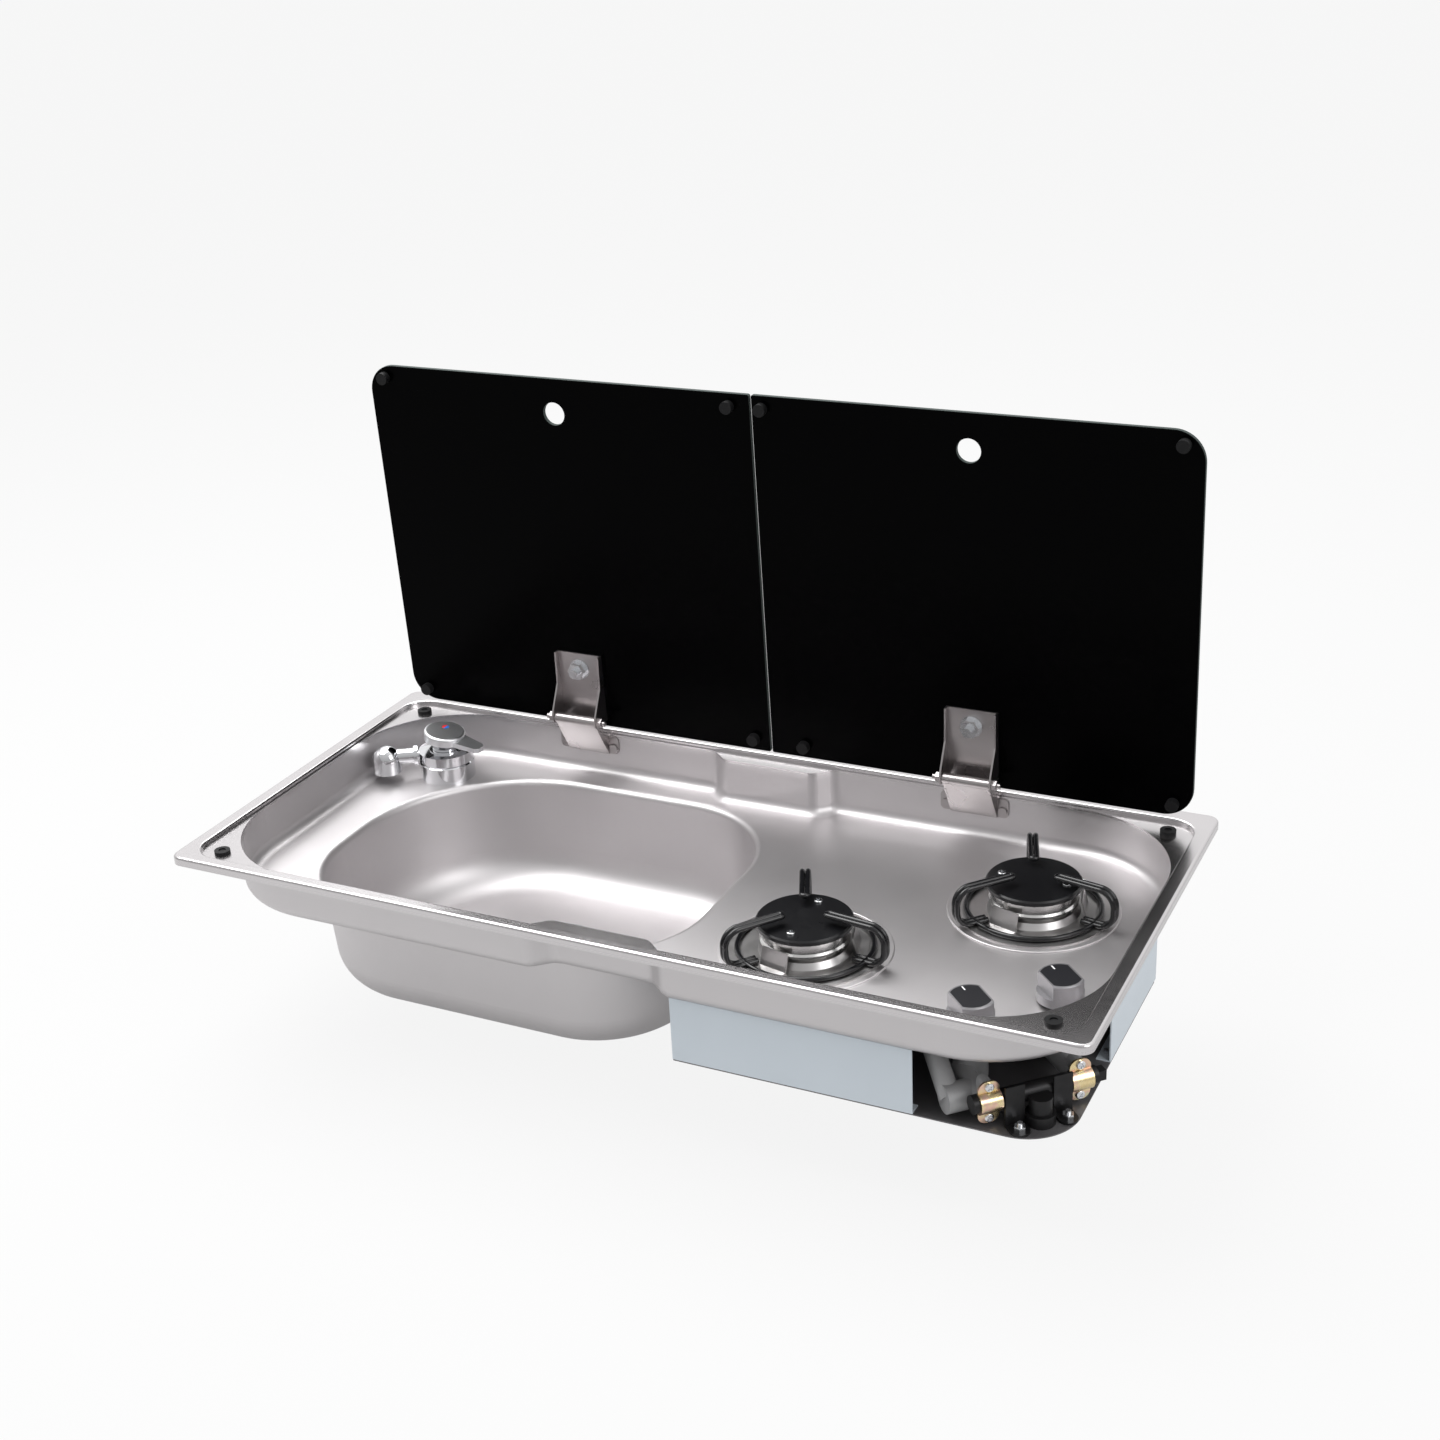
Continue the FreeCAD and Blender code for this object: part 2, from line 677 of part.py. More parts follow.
def make_tray():
    tray = new_body("tray")
    rim = sketch_on(tray, "rim_sheet", offset="rim_height - sheet_gauge")
    rim_outline(rim, "0")
    pad(tray, rim, "sheet_gauge")
    lip = sketch_on(tray, "rim_lip")
    rim_outline(lip, "0")
    rim_outline(lip, "sheet_gauge")
    pad(tray, lip, "rim_height - sheet_gauge / 2")
    fillet(tray, "rim_edge", "rim_edge_radius", outer_rim_edge)
    shell = sketch_on(tray, "ledge_shell", offset="rim_height - sheet_gauge / 2")
    opening(shell, "sheet_gauge")
    pad(tray, shell, "ledge_depth + sheet_gauge / 2", downward=True)
    walls = sketch_on(tray, "recess_shell", offset=LEDGE)
    recess(walls, "sheet_gauge")
    pad(tray, walls, "recess_depth - ledge_depth + sheet_gauge", downward=True)
    mouth = sketch_on(tray, "ledge_recess", offset="rim_height")
    opening(mouth, "0")
    pocket(tray, mouth, "ledge_depth")
    hollow = sketch_on(tray, "deck_recess", offset=LEDGE)
    recess(hollow, "0")
    pocket(tray, hollow, "recess_depth - ledge_depth")
    for name, wall, toward in (("rear", RECESS_REAR, "-1"), ("front", RECESS_FRONT, "1")):
        block = sketch_on(tray, f"{name}_ledge", offset=LEDGE)
        centre_ledge(block, wall, toward, "0", "sheet_gauge / 2")
        pad(tray, block, f"{LEDGE} - {UNDERSIDE}", downward=True)
        inside = sketch_on(tray, f"{name}_ledge_hollow", offset=f"{LEDGE} - sheet_gauge")
        centre_ledge(inside, wall, toward, "sheet_gauge", "3 * sheet_gauge")
        pocket(tray, inside, "recess_depth")
    fillet(tray, "centre_ledge_round", "centre_ledge_radius", near_centre_ledge)
    deck = value(DECK)
    fillet(tray, "recess_inner_round", "recess_floor_radius", lambda edge: level(edge, deck))
    floor = value(UNDERSIDE)
    fillet(tray, "recess_outer_round", "recess_floor_radius + sheet_gauge", lambda edge: level(edge, floor))
    beads = sketch_on(tray, "burner_beads", offset=DECK)
    for where in ("front", "rear"):
        circle(beads, "burner_ring_radius", *BURNER_SPOTS[where])
        circle(beads, "burner_ring_radius - burner_ring_width", *BURNER_SPOTS[where])
    pad(tray, beads, "burner_ring_height")
    top = value("rim_height")
    bead_top = value(f"{DECK} + burner_ring_height")
    fillet(tray, "burner_bead_round", "burner_ring_round", lambda edge: level(edge, bead_top))
    fillet(tray, "opening_round", "opening_edge_radius", lambda edge: level(edge, top) and inside_rim(edge))
    holes = sketch_on(tray, "deck_holes", offset=DECK)
    for where in ("front", "rear"):
        circle(holes, "burner_hole_radius", *BURNER_SPOTS[where])
    for x, y in (knob_spot("front"), knob_spot("rear")):
        circle(holes, "stem_hole_radius", x, y)
    circle(holes, "tap_shank_radius + tap_hole_clearance", *TAP_SPOT)
    pocket(tray, holes, "2 * sheet_gauge")
    sink = sketch_on(tray, "bowl_hole", offset=DECK)
    bowl_outline(sink, "bowl_lip_radius")
    pocket(tray, sink, "2 * sheet_gauge")
    rivets = sketch_on(tray, "hinge_rivet_holes", "XZ_Plane", f"sheet_gauge - {RECESS_REAR}")
    for side in ("-1", "1"):
        for end in ("-1", "1"):
            circle(rivets, "hinge_rivet_radius + hinge_rivet_fit", rivet_x(side, end), RIVET_Z)
    pocket(tray, rivets, "3 * sheet_gauge")
    return tray


def outer_rim_edge(edge):
    return level(edge, value("rim_height"))


def inside_rim(edge):
    """True for the edges round the tray's opening, which lie inside the rim's outline."""
    bounds = edge.BoundBox
    spare = value("cut_overrun")
    across = max(abs(bounds.XMin), abs(bounds.XMax)) < value(OPEN_SIDE) + spare
    return across and bounds.YMin > value(OPEN_FRONT) - spare and bounds.YMax < value(OPEN_REAR) + spare


def knob_spot(where):
    """The point on the deck under a gas knob, on the line across the corner."""
    sign = "-" if where == "front" else "+"
    x = f"({CLUSTER_X} {sign} knob_spacing / 2 * cos(cluster_angle))"
    y = f"({CLUSTER_Y} {sign} knob_spacing / 2 * sin(cluster_angle))"
    return x, y


RIVET_Z = "(rim_height - hinge_rivet_drop)"
RIVET_OUT = "(hinge_barrel_length / 2 + hinge_rivet_outset)"


def rivet_x(side, end):
    return f"(({side}) * {LID_X} + ({end}) * {RIVET_OUT})"


def make_bowl():
    """Sink bowl: a deep-drawn bowl with drafted walls, seam-welded into the deck by its rolled lip."""
    bowl = new_body("sink_bowl")
    lip = sketch_on(bowl, "bowl_lip", offset=UNDERSIDE)
    bowl_outline(lip, "bowl_lip_radius")
    pad(bowl, lip, "sheet_gauge")
    wall = sketch_on(bowl, "bowl_wall", offset=UNDERSIDE)
    bowl_outline(wall, "sheet_gauge")
    pad(bowl, wall, "bowl_depth", downward=True, taper="-bowl_draft")
    under = value(UNDERSIDE)
    fillet(bowl, "bowl_lip_under", "bowl_lip_radius - sheet_gauge", lambda edge: inner_lip(edge, under))
    hollow = sketch_on(bowl, "bowl_hollow", offset=DECK)
    bowl_outline(hollow, "0")
    pocket(bowl, hollow, "bowl_depth", taper="-bowl_draft")
    inside = value(BOWL_FLOOR)
    fillet(bowl, "bowl_inner_floor", "bowl_floor_radius", lambda edge: level(edge, inside))
    floor = value(BOWL_UNDER)
    fillet(bowl, "bowl_outer_floor", "bowl_floor_radius + sheet_gauge", lambda edge: level(edge, floor))
    deck = value(DECK)
    fillet(bowl, "bowl_lip_top", "bowl_lip_radius - bowl_lip_land", lambda edge: inner_lip(edge, deck))
    drain = sketch_on(bowl, "bowl_drain", offset=BOWL_FLOOR)
    circle(drain, "waste_body_radius + waste_hole_clearance", *WASTE_SPOT)
    pocket(bowl, drain, "2 * sheet_gauge")
    return bowl


def inner_lip(edge, height):
    """True for the loop where the bowl's wall meets its lip, inside the lip's own outline."""
    bounds = edge.BoundBox
    reach = value("bowl_lip_radius") / 2
    inside_x = bounds.XMin > value(BOWL_LEFT) - reach and bounds.XMax < value(BOWL_RIGHT) + reach
    inside_y = bounds.YMin > value(BOWL_FRONT) - reach and bounds.YMax < value(BOWL_REAR) + reach
    return level(edge, height) and inside_x and inside_y


def turned(name, profile):
    """A piece of revolution about its own upright axis, from a profile of radii and heights."""
    body = new_body(name)
    sketch = sketch_on(body, f"{name}_profile", "XZ_Plane")
    polygon(sketch, profile)
    feature = body.newObject("PartDesign::Revolution", f"{name}_turn")
    feature.Profile = sketch
    feature.ReferenceAxis = (sketch, ["V_Axis"])
    feature.Angle = 360
    doc.recompute()
    return body


def ring(name, inner, outer, height, x, y, z):
    hole = cylinder(f"{name}_hole", inner, height, x, y, z)
    return cut(name, cylinder(f"{name}_disc", outer, height, x, y, z), hole)


def make_gasket():
    """Rim gasket: four foam strips in the hollow of the rim, which seal it to the worktop."""
    inset = "(sheet_gauge + gasket_clearance)"
    height = "rim_height - sheet_gauge"
    left, bottom = f"{inset} - rim_length / 2", f"{inset} - rim_width / 2"
    start, length = "rim_corner_radius - rim_length / 2", "rim_length - 2 * rim_corner_radius"
    front, rear = f"({OPEN_FRONT} - {inset})", f"({OPEN_REAR} + {inset})"
    across = f"side_strip - 2 * {inset}"
    strips = [
        box("gasket_front", length, f"front_strip - 2 * {inset}", height, start, bottom),
        box("gasket_rear", length, f"rear_strip - 2 * {inset}", height, start, rear),
        box("gasket_left", across, f"{rear} - {front}", height, left, front),
        box("gasket_right", across, f"{rear} - {front}", height, f"{OPEN_SIDE} + {inset}", front),
    ]
    group("rim_gasket", *strips)


def make_buttons():
    """Ledge buttons: rubber studs on the corner ledges that the closed lids rest on."""
    lines = (f"({OPEN_FRONT} + button_front)", f"({OPEN_REAR} - button_rear)")
    buttons = []
    for number, (side, y) in enumerate(((s, y) for s in ("-1", "1") for y in lines), start=1):
        x = f"({side}) * ({OPEN_SIDE} - button_side)"
        stud = cylinder(f"button_{number}_stud", "button_radius", "button_height", x, y, LEDGE)
        top = f"{LEDGE} + button_height - button_dimple_depth"
        dimple = cylinder(f"button_{number}_dimple", "button_dimple_radius", "button_height", x, y, top)
        buttons.append(cut(f"button_{number}", stud, dimple))
    group("ledge_buttons", *buttons)


def make_waste():
    """Waste outlet: a flanged plastic fitting clamped through the bowl floor by a back nut, with a plug."""
    top = f"({BOWL_FLOOR} + waste_flange_height)"
    bottom = f"({BOWL_UNDER} - waste_thread_length)"
    bore = "(waste_spigot_radius - waste_wall)"
    profile = [
        ("waste_mouth_radius", top),
        ("waste_flange_radius", top),
        ("waste_flange_radius", BOWL_FLOOR),
        ("waste_body_radius", BOWL_FLOOR),
        ("waste_body_radius", bottom),
        ("waste_spigot_radius", bottom),
        ("waste_spigot_radius", f"{bottom} - waste_spigot_length"),
        (bore, f"{bottom} - waste_spigot_length"),
        (bore, f"{bottom} + waste_wall"),
        ("waste_mouth_radius", f"{bottom} + waste_wall"),
    ]
    place(turned("waste_fitting", profile), *WASTE_SPOT)
    hole = "waste_body_radius + thread_fit"
    seal = f"{BOWL_UNDER} - waste_seal_height"
    ring("waste_seal", hole, "waste_nut_radius", "waste_seal_height", *WASTE_SPOT, seal)
    nut = f"{seal} - waste_nut_height"
    ring("waste_nut", hole, "waste_nut_radius", "waste_nut_height", *WASTE_SPOT, nut)
    seat = f"({top} + plug_seat)"
    inside = "(waste_mouth_radius - plug_clearance)"
    plug = [
        ("0", f"{top} - plug_depth"),
        (inside, f"{top} - plug_depth"),
        (inside, seat),
        ("plug_rim_radius", seat),
        ("plug_rim_radius", f"{seat} + plug_rim_height"),
        ("plug_grip_radius", f"{seat} + plug_rim_height"),
        ("plug_grip_radius", f"{seat} + plug_rim_height + plug_grip_height"),
        ("0", f"{seat} + plug_rim_height + plug_grip_height"),
    ]
    place(turned("sink_plug", plug), *WASTE_SPOT)


def make_tap():
    """Mixer tap: a chromed brass body clamped through the deck by a nut, with two copper tails below."""
    base = f"({DECK} + tap_base_height)"
    foot = f"({UNDERSIDE} - tap_shank_length)"
    spindle = "(spindle_radius + spout_fit)"
    profile = [
        ("0", foot),
        ("tap_shank_radius", foot),
        ("tap_shank_radius", DECK),
        ("tap_radius", DECK),
        ("tap_radius", f"{base} - tap_edge"),
        ("tap_radius - tap_edge", base),
        ("tap_post_radius", base),
        ("tap_post_radius", TAP_TOP),
        (spindle, TAP_TOP),
        (spindle, f"{TAP_TOP} - spindle_length - turret_gap"),
        ("0", f"{TAP_TOP} - spindle_length - turret_gap"),
    ]
    place(turned("tap_body", profile), *TAP_SPOT)
    hole = "tap_shank_radius + thread_fit"
    seal = f"({UNDERSIDE} - tap_seal_height)"
    ring("tap_seal", hole, "tap_nut_radius - tap_seal_height", "tap_seal_height", *TAP_SPOT, seal)
    nut = f"{seal} - tap_nut_height"
    flats = hexagon("tap_nut_flats", "tap_nut_radius", "tap_nut_height", *TAP_SPOT, nut)
    cut("tap_nut", flats, cylinder("tap_nut_hole", hole, "tap_nut_height", *TAP_SPOT, nut))
    tails = []
    for name, side in (("hot", "-1"), ("cold", "1")):
        x = f"{TAP_SPOT[0]} + ({side}) * tap_tail_spacing / 2"
        end = f"{foot} - tap_tail_length"
        tube = (x, TAP_SPOT[1], end)
        tails.append(ring(f"tap_tail_{name}", "tap_tail_bore", "tap_tail_radius", "tap_tail_length", *tube))
    group("tap_tails", *tails)


def make_spout():
    """Spout: a ring that turns on the tap's post, with an arm and a domed outlet head."""
    bottom = f"({DECK} + tap_base_height + spout_gap)"
    middle = f"({bottom} + spout_ring_height / 2)"
    outlet = f"({DECK} + outlet_lift)"
    collar = "(tap_radius + spout_collar_gap)"
    band = cylinder("spout_ring", "tap_radius", "spout_ring_height", z=bottom)
    neck = cylinder("spout_neck", "spout_neck_radius", "spout_reach - tap_post_radius")
    place(neck, "tap_post_radius", "0", middle, AXIS_Y, "90")
    disc = cylinder("spout_collar", "spout_collar_radius", "spout_collar_length")
    place(disc, collar, "0", middle, AXIS_Y, "90")
    arm = cylinder("spout_arm", "spout_arm_radius", f"spout_reach - {collar}")
    place(arm, collar, "0", middle, AXIS_Y, "90")
    head = cylinder("outlet_skirt", "outlet_radius", "outlet_skirt", "spout_reach", "0", outlet)
    dome = bind(doc.addObject("Part::Sphere", "outlet_dome"), Radius="outlet_radius", Angle1="0")
    place(dome, "spout_reach", "0", f"{outlet} + outlet_skirt")
    solid = fuse("spout_solid", band, neck, disc, arm, head, dome)
    post = cylinder("spout_bore", "tap_post_radius + spout_fit", "spout_ring_height", z=bottom)
    mouth = cylinder("outlet_bore", "outlet_bore_radius", "outlet_bore_depth", "spout_reach", "0", outlet)
    place(cut("tap_spout", solid, post, mouth), *TAP_SPOT, "0", UP, "spout_angle")


def make_lever():
    """Lever: a capped paddle. It swings with its turret for heat and lifts on a cross pin for flow."""
    turret = f"({TAP_TOP} + turret_gap)"
    pivot = f"({turret} + turret_height + lever_pivot_height)"
    disc = cylinder("turret_disc", "turret_radius", "turret_height", z=turret)
    spindle = cylinder("turret_spindle", "spindle_radius", "spindle_length + turret_height / 2")
    place(spindle, z=f"{turret} - spindle_length")
    rise = "turret_height / 2 + lever_pivot_height + tongue_over"
    tongue = box("turret_tongue", "tongue_length", "tongue_width", rise)
    back = "-lever_pivot_back - tongue_length / 2"
    place(tongue, back, "-tongue_width / 2", f"{turret} + turret_height / 2")
    bore = cylinder("turret_bore", "lever_pin_radius + thread_fit", "tongue_width * 2")
    place(bore, "-lever_pivot_back", "tongue_width", pivot, AXIS_X, "90")
    holder = cut("tap_turret", fuse("turret_solid", disc, spindle, tongue), bore)
    place(holder, *TAP_SPOT, "0", UP, "lever_angle")
    pin = cylinder("lever_cross_pin", "lever_pin_radius", "lever_pin_length")
    place(pin, "-lever_pivot_back", "lever_pin_length / 2", pivot, AXIS_X, "90")
    place(group("tap_lever_pin", pin), *TAP_SPOT, "0", UP, "lever_angle")
    drilled = place(lever_piece(), "-lever_pivot_back", "0", pivot, AXIS_Y, "lever_droop")
    place(group("tap_lever", drilled), *TAP_SPOT, "0", UP, "lever_angle")


def lever_piece():
    """The lever by itself, with its cross pin at the origin and its paddle along +X."""
    lever = new_body("lever_blank")
    round_cap = sketch_on(lever, "lever_cap_outline", offset="-lever_under")
    circle(round_cap, "lever_radius", "lever_pivot_back")
    pad(lever, round_cap, "lever_height")
    top = value("lever_height - lever_under")
    fillet(lever, "lever_cap_round", "lever_edge_radius", lambda edge: level(edge, top))
    paddle = sketch_on(lever, "lever_paddle", offset="-lever_under")
    root, half = "(lever_root_width / 2)", "(lever_tip_width / 2)"
    heel = "lever_pivot_back + lever_radius / 4"
    point = "lever_pivot_back + lever_length"
    shoulder = f"{point} - lever_tip_corner"
    nose = f"({half} - lever_tip_corner)"
    upper = [(point, nose), (shoulder, half), (heel, root)]
    lower = [(heel, f"-{root}"), (shoulder, f"-{half}"), (point, f"-{nose}")]
    polygon(paddle, lower + upper)
    pad(lever, paddle, "lever_tip_height")
    slot = sketch_on(lever, "lever_slot_outline", offset="-lever_under")
    along = "(tongue_length / 2 + lever_slot_clearance)"
    side = "(tongue_width / 2 + lever_slot_side)"
    polygon(slot, [(f"-{along}", f"-{side}"), (along, f"-{side}"), (along, side), (f"-{along}", side)])
    pocket(lever, slot, "lever_slot_depth", upward=True)
    span = "(lever_pin_length + 2 * lever_pin_end)"
    bearing = cylinder("lever_bearing", "lever_pin_radius + lever_pin_fit", span)
    place(bearing, "0", f"{span} / 2", "0", AXIS_X, "90")
    return cut("lever_drilled", lever, bearing)


def on_pin(item, side, lean="lid_lean"):
    """Set a lid piece down on its hinge pin, leaning forward as the open lid does."""
    return place(item, f"({side}) * {LID_X}", PIN_Y, PIN_Z, AXIS_X, lean)


def make_glass(name, side):
    """Lid glass: black toughened glass with a finger hole, round at its two outer corners."""
    glass = new_body(f"glass_{name}")
    outline = sketch_on(glass, f"glass_{name}_outline", "XZ_Plane", "-hinge_glass_offset")
    outer, inner = "glass_outer_radius", "glass_inner_radius"
    radii = [outer, inner, inner, outer] if name == "left" else [inner, outer, outer, inner]
    bottom, top = "-hinge_glass_drop", f"({GLASS_HEIGHT} - hinge_glass_drop)"
    rounded_rectangle(outline, f"-{GLASS_WIDTH} / 2", f"{GLASS_WIDTH} / 2", bottom, top, radii)
    pad(glass, outline, "glass_gauge", downward=True)
    holes = sketch_on(glass, f"glass_{name}_holes", "XZ_Plane", "-hinge_glass_offset - glass_gauge / 2")
    circle(holes, "finger_hole_radius", "0", f"{top} - finger_hole_drop")
    circle(holes, "lid_bolt_radius + lid_bolt_clearance", "0", "hinge_nut_height")
    pocket(glass, holes, "3 * glass_gauge", symmetric=True)
    fillet(glass, f"glass_{name}_edge", "glass_edge_radius", lambda edge: edge.BoundBox.YLength < 1e-4)
    on_pin(glass, side)
    bumpers = []
    for end, z in (("low", f"{bottom} + bumper_end_inset"), ("high", f"{top} - bumper_end_inset")):
        outer_x = f"({side}) * ({GLASS_WIDTH} / 2 - bumper_side_inset)"
        inner_x = f"-({side}) * ({GLASS_WIDTH} / 2 - {name}_{end}_bumper_inset)"
        for place_name, x in (("outer", outer_x), ("inner", inner_x)):
            bumper = cylinder(f"bumper_{name}_{place_name}_{end}", "bumper_radius", "bumper_height")
            bumpers.append(place(bumper, x, "hinge_glass_offset", z, AXIS_X, "90"))
    on_pin(group(f"bumpers_{name}", *bumpers), side)


def make_leaf(name, side):
    """Hinge leaf: a pressed channel bolted to the glass, whose two ears hang on the hinge pin."""
    leaf = new_body(f"hinge_leaf_{name}")
    ear = sketch_on(leaf, f"hinge_ear_{name}", "YZ_Plane")
    low = "(hinge_ear_radius - hinge_ear_chamfer)"
    reach = "(hinge_glass_offset - hinge_ear_top_reach)"
    profile = [
        ("hinge_glass_offset", "-hinge_ear_radius"),
        ("hinge_glass_offset", "hinge_leaf_height"),
        (reach, "hinge_leaf_height"),
        (f"{reach} - hinge_plate", "hinge_leaf_height / 2"),
        ("-hinge_ear_radius", "hinge_ear_radius"),
        ("-hinge_ear_radius", f"-{low}"),
        (f"-{low}", "-hinge_ear_radius"),
    ]
    polygon(ear, profile)
    pad(leaf, ear, LEAF_WIDTH, symmetric=True)
    inside = sketch_on(leaf, f"hinge_channel_{name}", "XZ_Plane", f"-{LEAF_FACE}")
    half = f"({LEAF_INSIDE} / 2)"
    low, high = "-2 * hinge_ear_radius", "(hinge_leaf_height + hinge_plate)"
    polygon(inside, [(f"-{half}", low), (half, low), (half, high), (f"-{half}", high)])
    pocket(leaf, inside, "hinge_glass_offset + 2 * hinge_ear_radius", upward=True)
    eye = sketch_on(leaf, f"hinge_eye_{name}", "YZ_Plane")
    circle(eye, "hinge_pin_radius + thread_fit")
    pocket(leaf, eye, f"2 * {LEAF_WIDTH}", symmetric=True)
    hole = sketch_on(leaf, f"hinge_bolt_hole_{name}", "XZ_Plane", "-hinge_glass_offset")
    circle(hole, "lid_bolt_radius + lid_bolt_clearance", "0", "hinge_nut_height")
    pocket(leaf, hole, "4 * hinge_plate", symmetric=True)
    on_pin(leaf, side)


def make_hinge_fixings(name, side):
    """Hinge pin with its two lock nuts, and the bolt and flanged nut that hold the leaf to the glass."""
    length = f"({LEAF_WIDTH} + 2 * pin_nut_height + 2 * pin_end)"
    rod = cylinder(f"hinge_rod_{name}", "hinge_pin_radius", length)
    place(rod, f"-{length} / 2", "0", "0", AXIS_Y, "90")
    first = hexagon(f"hinge_nut_{name}_1", "pin_nut_size", "pin_nut_height")
    place(first, f"{LEAF_WIDTH} / 2", "0", "0", AXIS_Y, "90")
    second = hexagon(f"hinge_nut_{name}_2", "pin_nut_size", "pin_nut_height")
    place(second, f"-{LEAF_WIDTH} / 2 - pin_nut_height", "0", "0", AXIS_Y, "90")
    on_pin(fuse(f"hinge_pin_{name}", rod, first, second), side)
    back = "(hinge_glass_offset + glass_gauge)"
    front = f"({LEAF_FACE} - lid_nut_flange_height - lid_nut_height - lid_bolt_end)"
    head = cylinder(f"lid_bolt_head_{name}", "lid_bolt_head_radius", "lid_bolt_head_height")
    place(head, "0", f"{back} + lid_bolt_head_height", "hinge_nut_height", AXIS_X, "90")
    shank = cylinder(f"lid_bolt_shank_{name}", "lid_bolt_radius", f"{back} - {front}")
    place(shank, "0", back, "hinge_nut_height", AXIS_X, "90")
    flange = cylinder(f"lid_nut_flange_{name}", "lid_nut_flange_radius", "lid_nut_flange_height")
    place(flange, "0", LEAF_FACE, "hinge_nut_height", AXIS_X, "90")
    flats = hexagon(f"lid_nut_flats_{name}", "lid_nut_size", "lid_nut_height + lid_nut_flange_height")
    place(flats, "0", LEAF_FACE, "hinge_nut_height", AXIS_X, "90")
    bore = cylinder(f"lid_nut_bore_{name}", "lid_bolt_radius + thread_fit", "lid_nut_height * 2")
    place(bore, "0", LEAF_FACE, "hinge_nut_height", AXIS_X, "90")
    nut = cut(f"lid_nut_{name}", fuse(f"lid_nut_solid_{name}", flange, flats), bore)
    on_pin(group(f"lid_bolt_{name}", fuse(f"lid_stud_{name}", head, shank), nut), side)


def make_hinge_base(name, side):
    """Hinge base: a folded bracket riveted to the rear wall, with a rolled barrel that carries the pin."""
    base = new_body(f"hinge_base_{name}")
    low = "(-hinge_pin_height - hinge_foot_bottom)"
    high = "(-hinge_pin_height - hinge_foot_top)"
    wall = "(hinge_pin_reach - hinge_plate)"
    web = sketch_on(base, f"hinge_web_{name}", "YZ_Plane")
    start = "(-hinge_barrel_radius + hinge_plate / 2)"
    end = "(hinge_pin_reach - 2 * hinge_plate)"
    polygon(web, [(start, "0"), (f"{start} + hinge_web", "0"), (f"{end} + hinge_web", low), (end, low)])
    pad(base, web, "hinge_barrel_length", symmetric=True)
    barrel = sketch_on(base, f"hinge_barrel_{name}", "YZ_Plane")
    circle(barrel, "hinge_barrel_radius")
    pad(base, barrel, "hinge_barrel_length", symmetric=True)
    foot = sketch_on(base, f"hinge_foot_{name}", "XZ_Plane", f"-{wall}")
    half = "(hinge_barrel_length / 2 + hinge_foot_outset)"
    rounded_rectangle(foot, f"-{half}", half, low, high, "hinge_foot_corner")
    pad(base, foot, "hinge_plate", downward=True)
    buried = f"({wall} + hinge_plate / 2)"
    triangle = [("hinge_barrel_radius / 2", "-hinge_gusset_drop"), (buried, high), (buried, low), (end, low)]
    edges = ("hinge_plate - hinge_barrel_length / 2", "hinge_barrel_length / 2")
    for number, offset in enumerate(edges, start=1):
        gusset = sketch_on(base, f"hinge_gusset_{name}_{number}", "YZ_Plane", offset)
        polygon(gusset, triangle)
        pad(base, gusset, "hinge_plate", downward=True)
    eye = sketch_on(base, f"hinge_bore_{name}", "YZ_Plane")
    circle(eye, "hinge_pin_radius + hinge_pin_fit")
    pocket(base, eye, "2 * hinge_barrel_length", symmetric=True)
    holes = sketch_on(base, f"hinge_foot_holes_{name}", "XZ_Plane", f"-{wall}")
    for end_sign in ("-1", "1"):
        x = f"({end_sign}) * {RIVET_OUT}"
        circle(holes, "hinge_rivet_radius + hinge_rivet_fit", x, "-hinge_pin_height - hinge_rivet_drop")
    pocket(base, holes, "4 * hinge_plate", symmetric=True)
    return on_pin(base, side, "0")


def make_rivets():
    """Hinge rivets: two steel rivets through each hinge foot and the tray's rear wall."""
    rivets = []
    head = "hinge_rivet_head_height"
    grip = f"(hinge_plate + sheet_gauge + 2 * {head})"
    for side in ("-1", "1"):
        for end in ("-1", "1"):
            name = f"rivet_{len(rivets) + 1}"
            front = cylinder(f"{name}_head", "hinge_rivet_head_radius", head)
            place(front, rivet_x(side, end), FOOT_FACE, RIVET_Z, AXIS_X, "90")
            rear = cylinder(f"{name}_tail", "hinge_rivet_head_radius", head)
            place(rear, rivet_x(side, end), f"{RECESS_REAR} + sheet_gauge + {head}", RIVET_Z, AXIS_X, "90")
            shank = cylinder(f"{name}_shank", "hinge_rivet_radius", grip)
            place(shank, rivet_x(side, end), f"{RECESS_REAR} + sheet_gauge + {head}", RIVET_Z, AXIS_X, "90")
            rivets.append(fuse(name, front, rear, shank))
    group("hinge_rivets", *rivets)


def burner_line(where):
    """The level line from a burner to its gas tap: its compass angle and its length."""
    x, y = BURNER_SPOTS[where]
    far_x, far_y = knob_spot(where)
    angle = f"atan2({far_y} - {y}; {far_x} - {x})"
    length = f"sqrt(({far_x} - {x})^2 + ({far_y} - {y})^2)"
    return angle, length


def make_burner_dish(where):
    """Burner dish: a chromed pressing on the deck, with a raised seat for the burner."""
    flat = f"({DECK} + burner_dish_gauge)"
    seat = f"({flat} + burner_pedestal_height)"
    profile = [
        ("burner_hole_radius", DECK),
        ("burner_dish_radius", DECK),
        ("burner_dish_radius", flat),
        ("burner_pedestal_radius + burner_pedestal_slope", flat),
        ("burner_pedestal_radius", seat),
        ("burner_hole_radius", seat),
    ]
    return place(turned(f"burner_dish_{where}", profile), *BURNER_SPOTS[where])


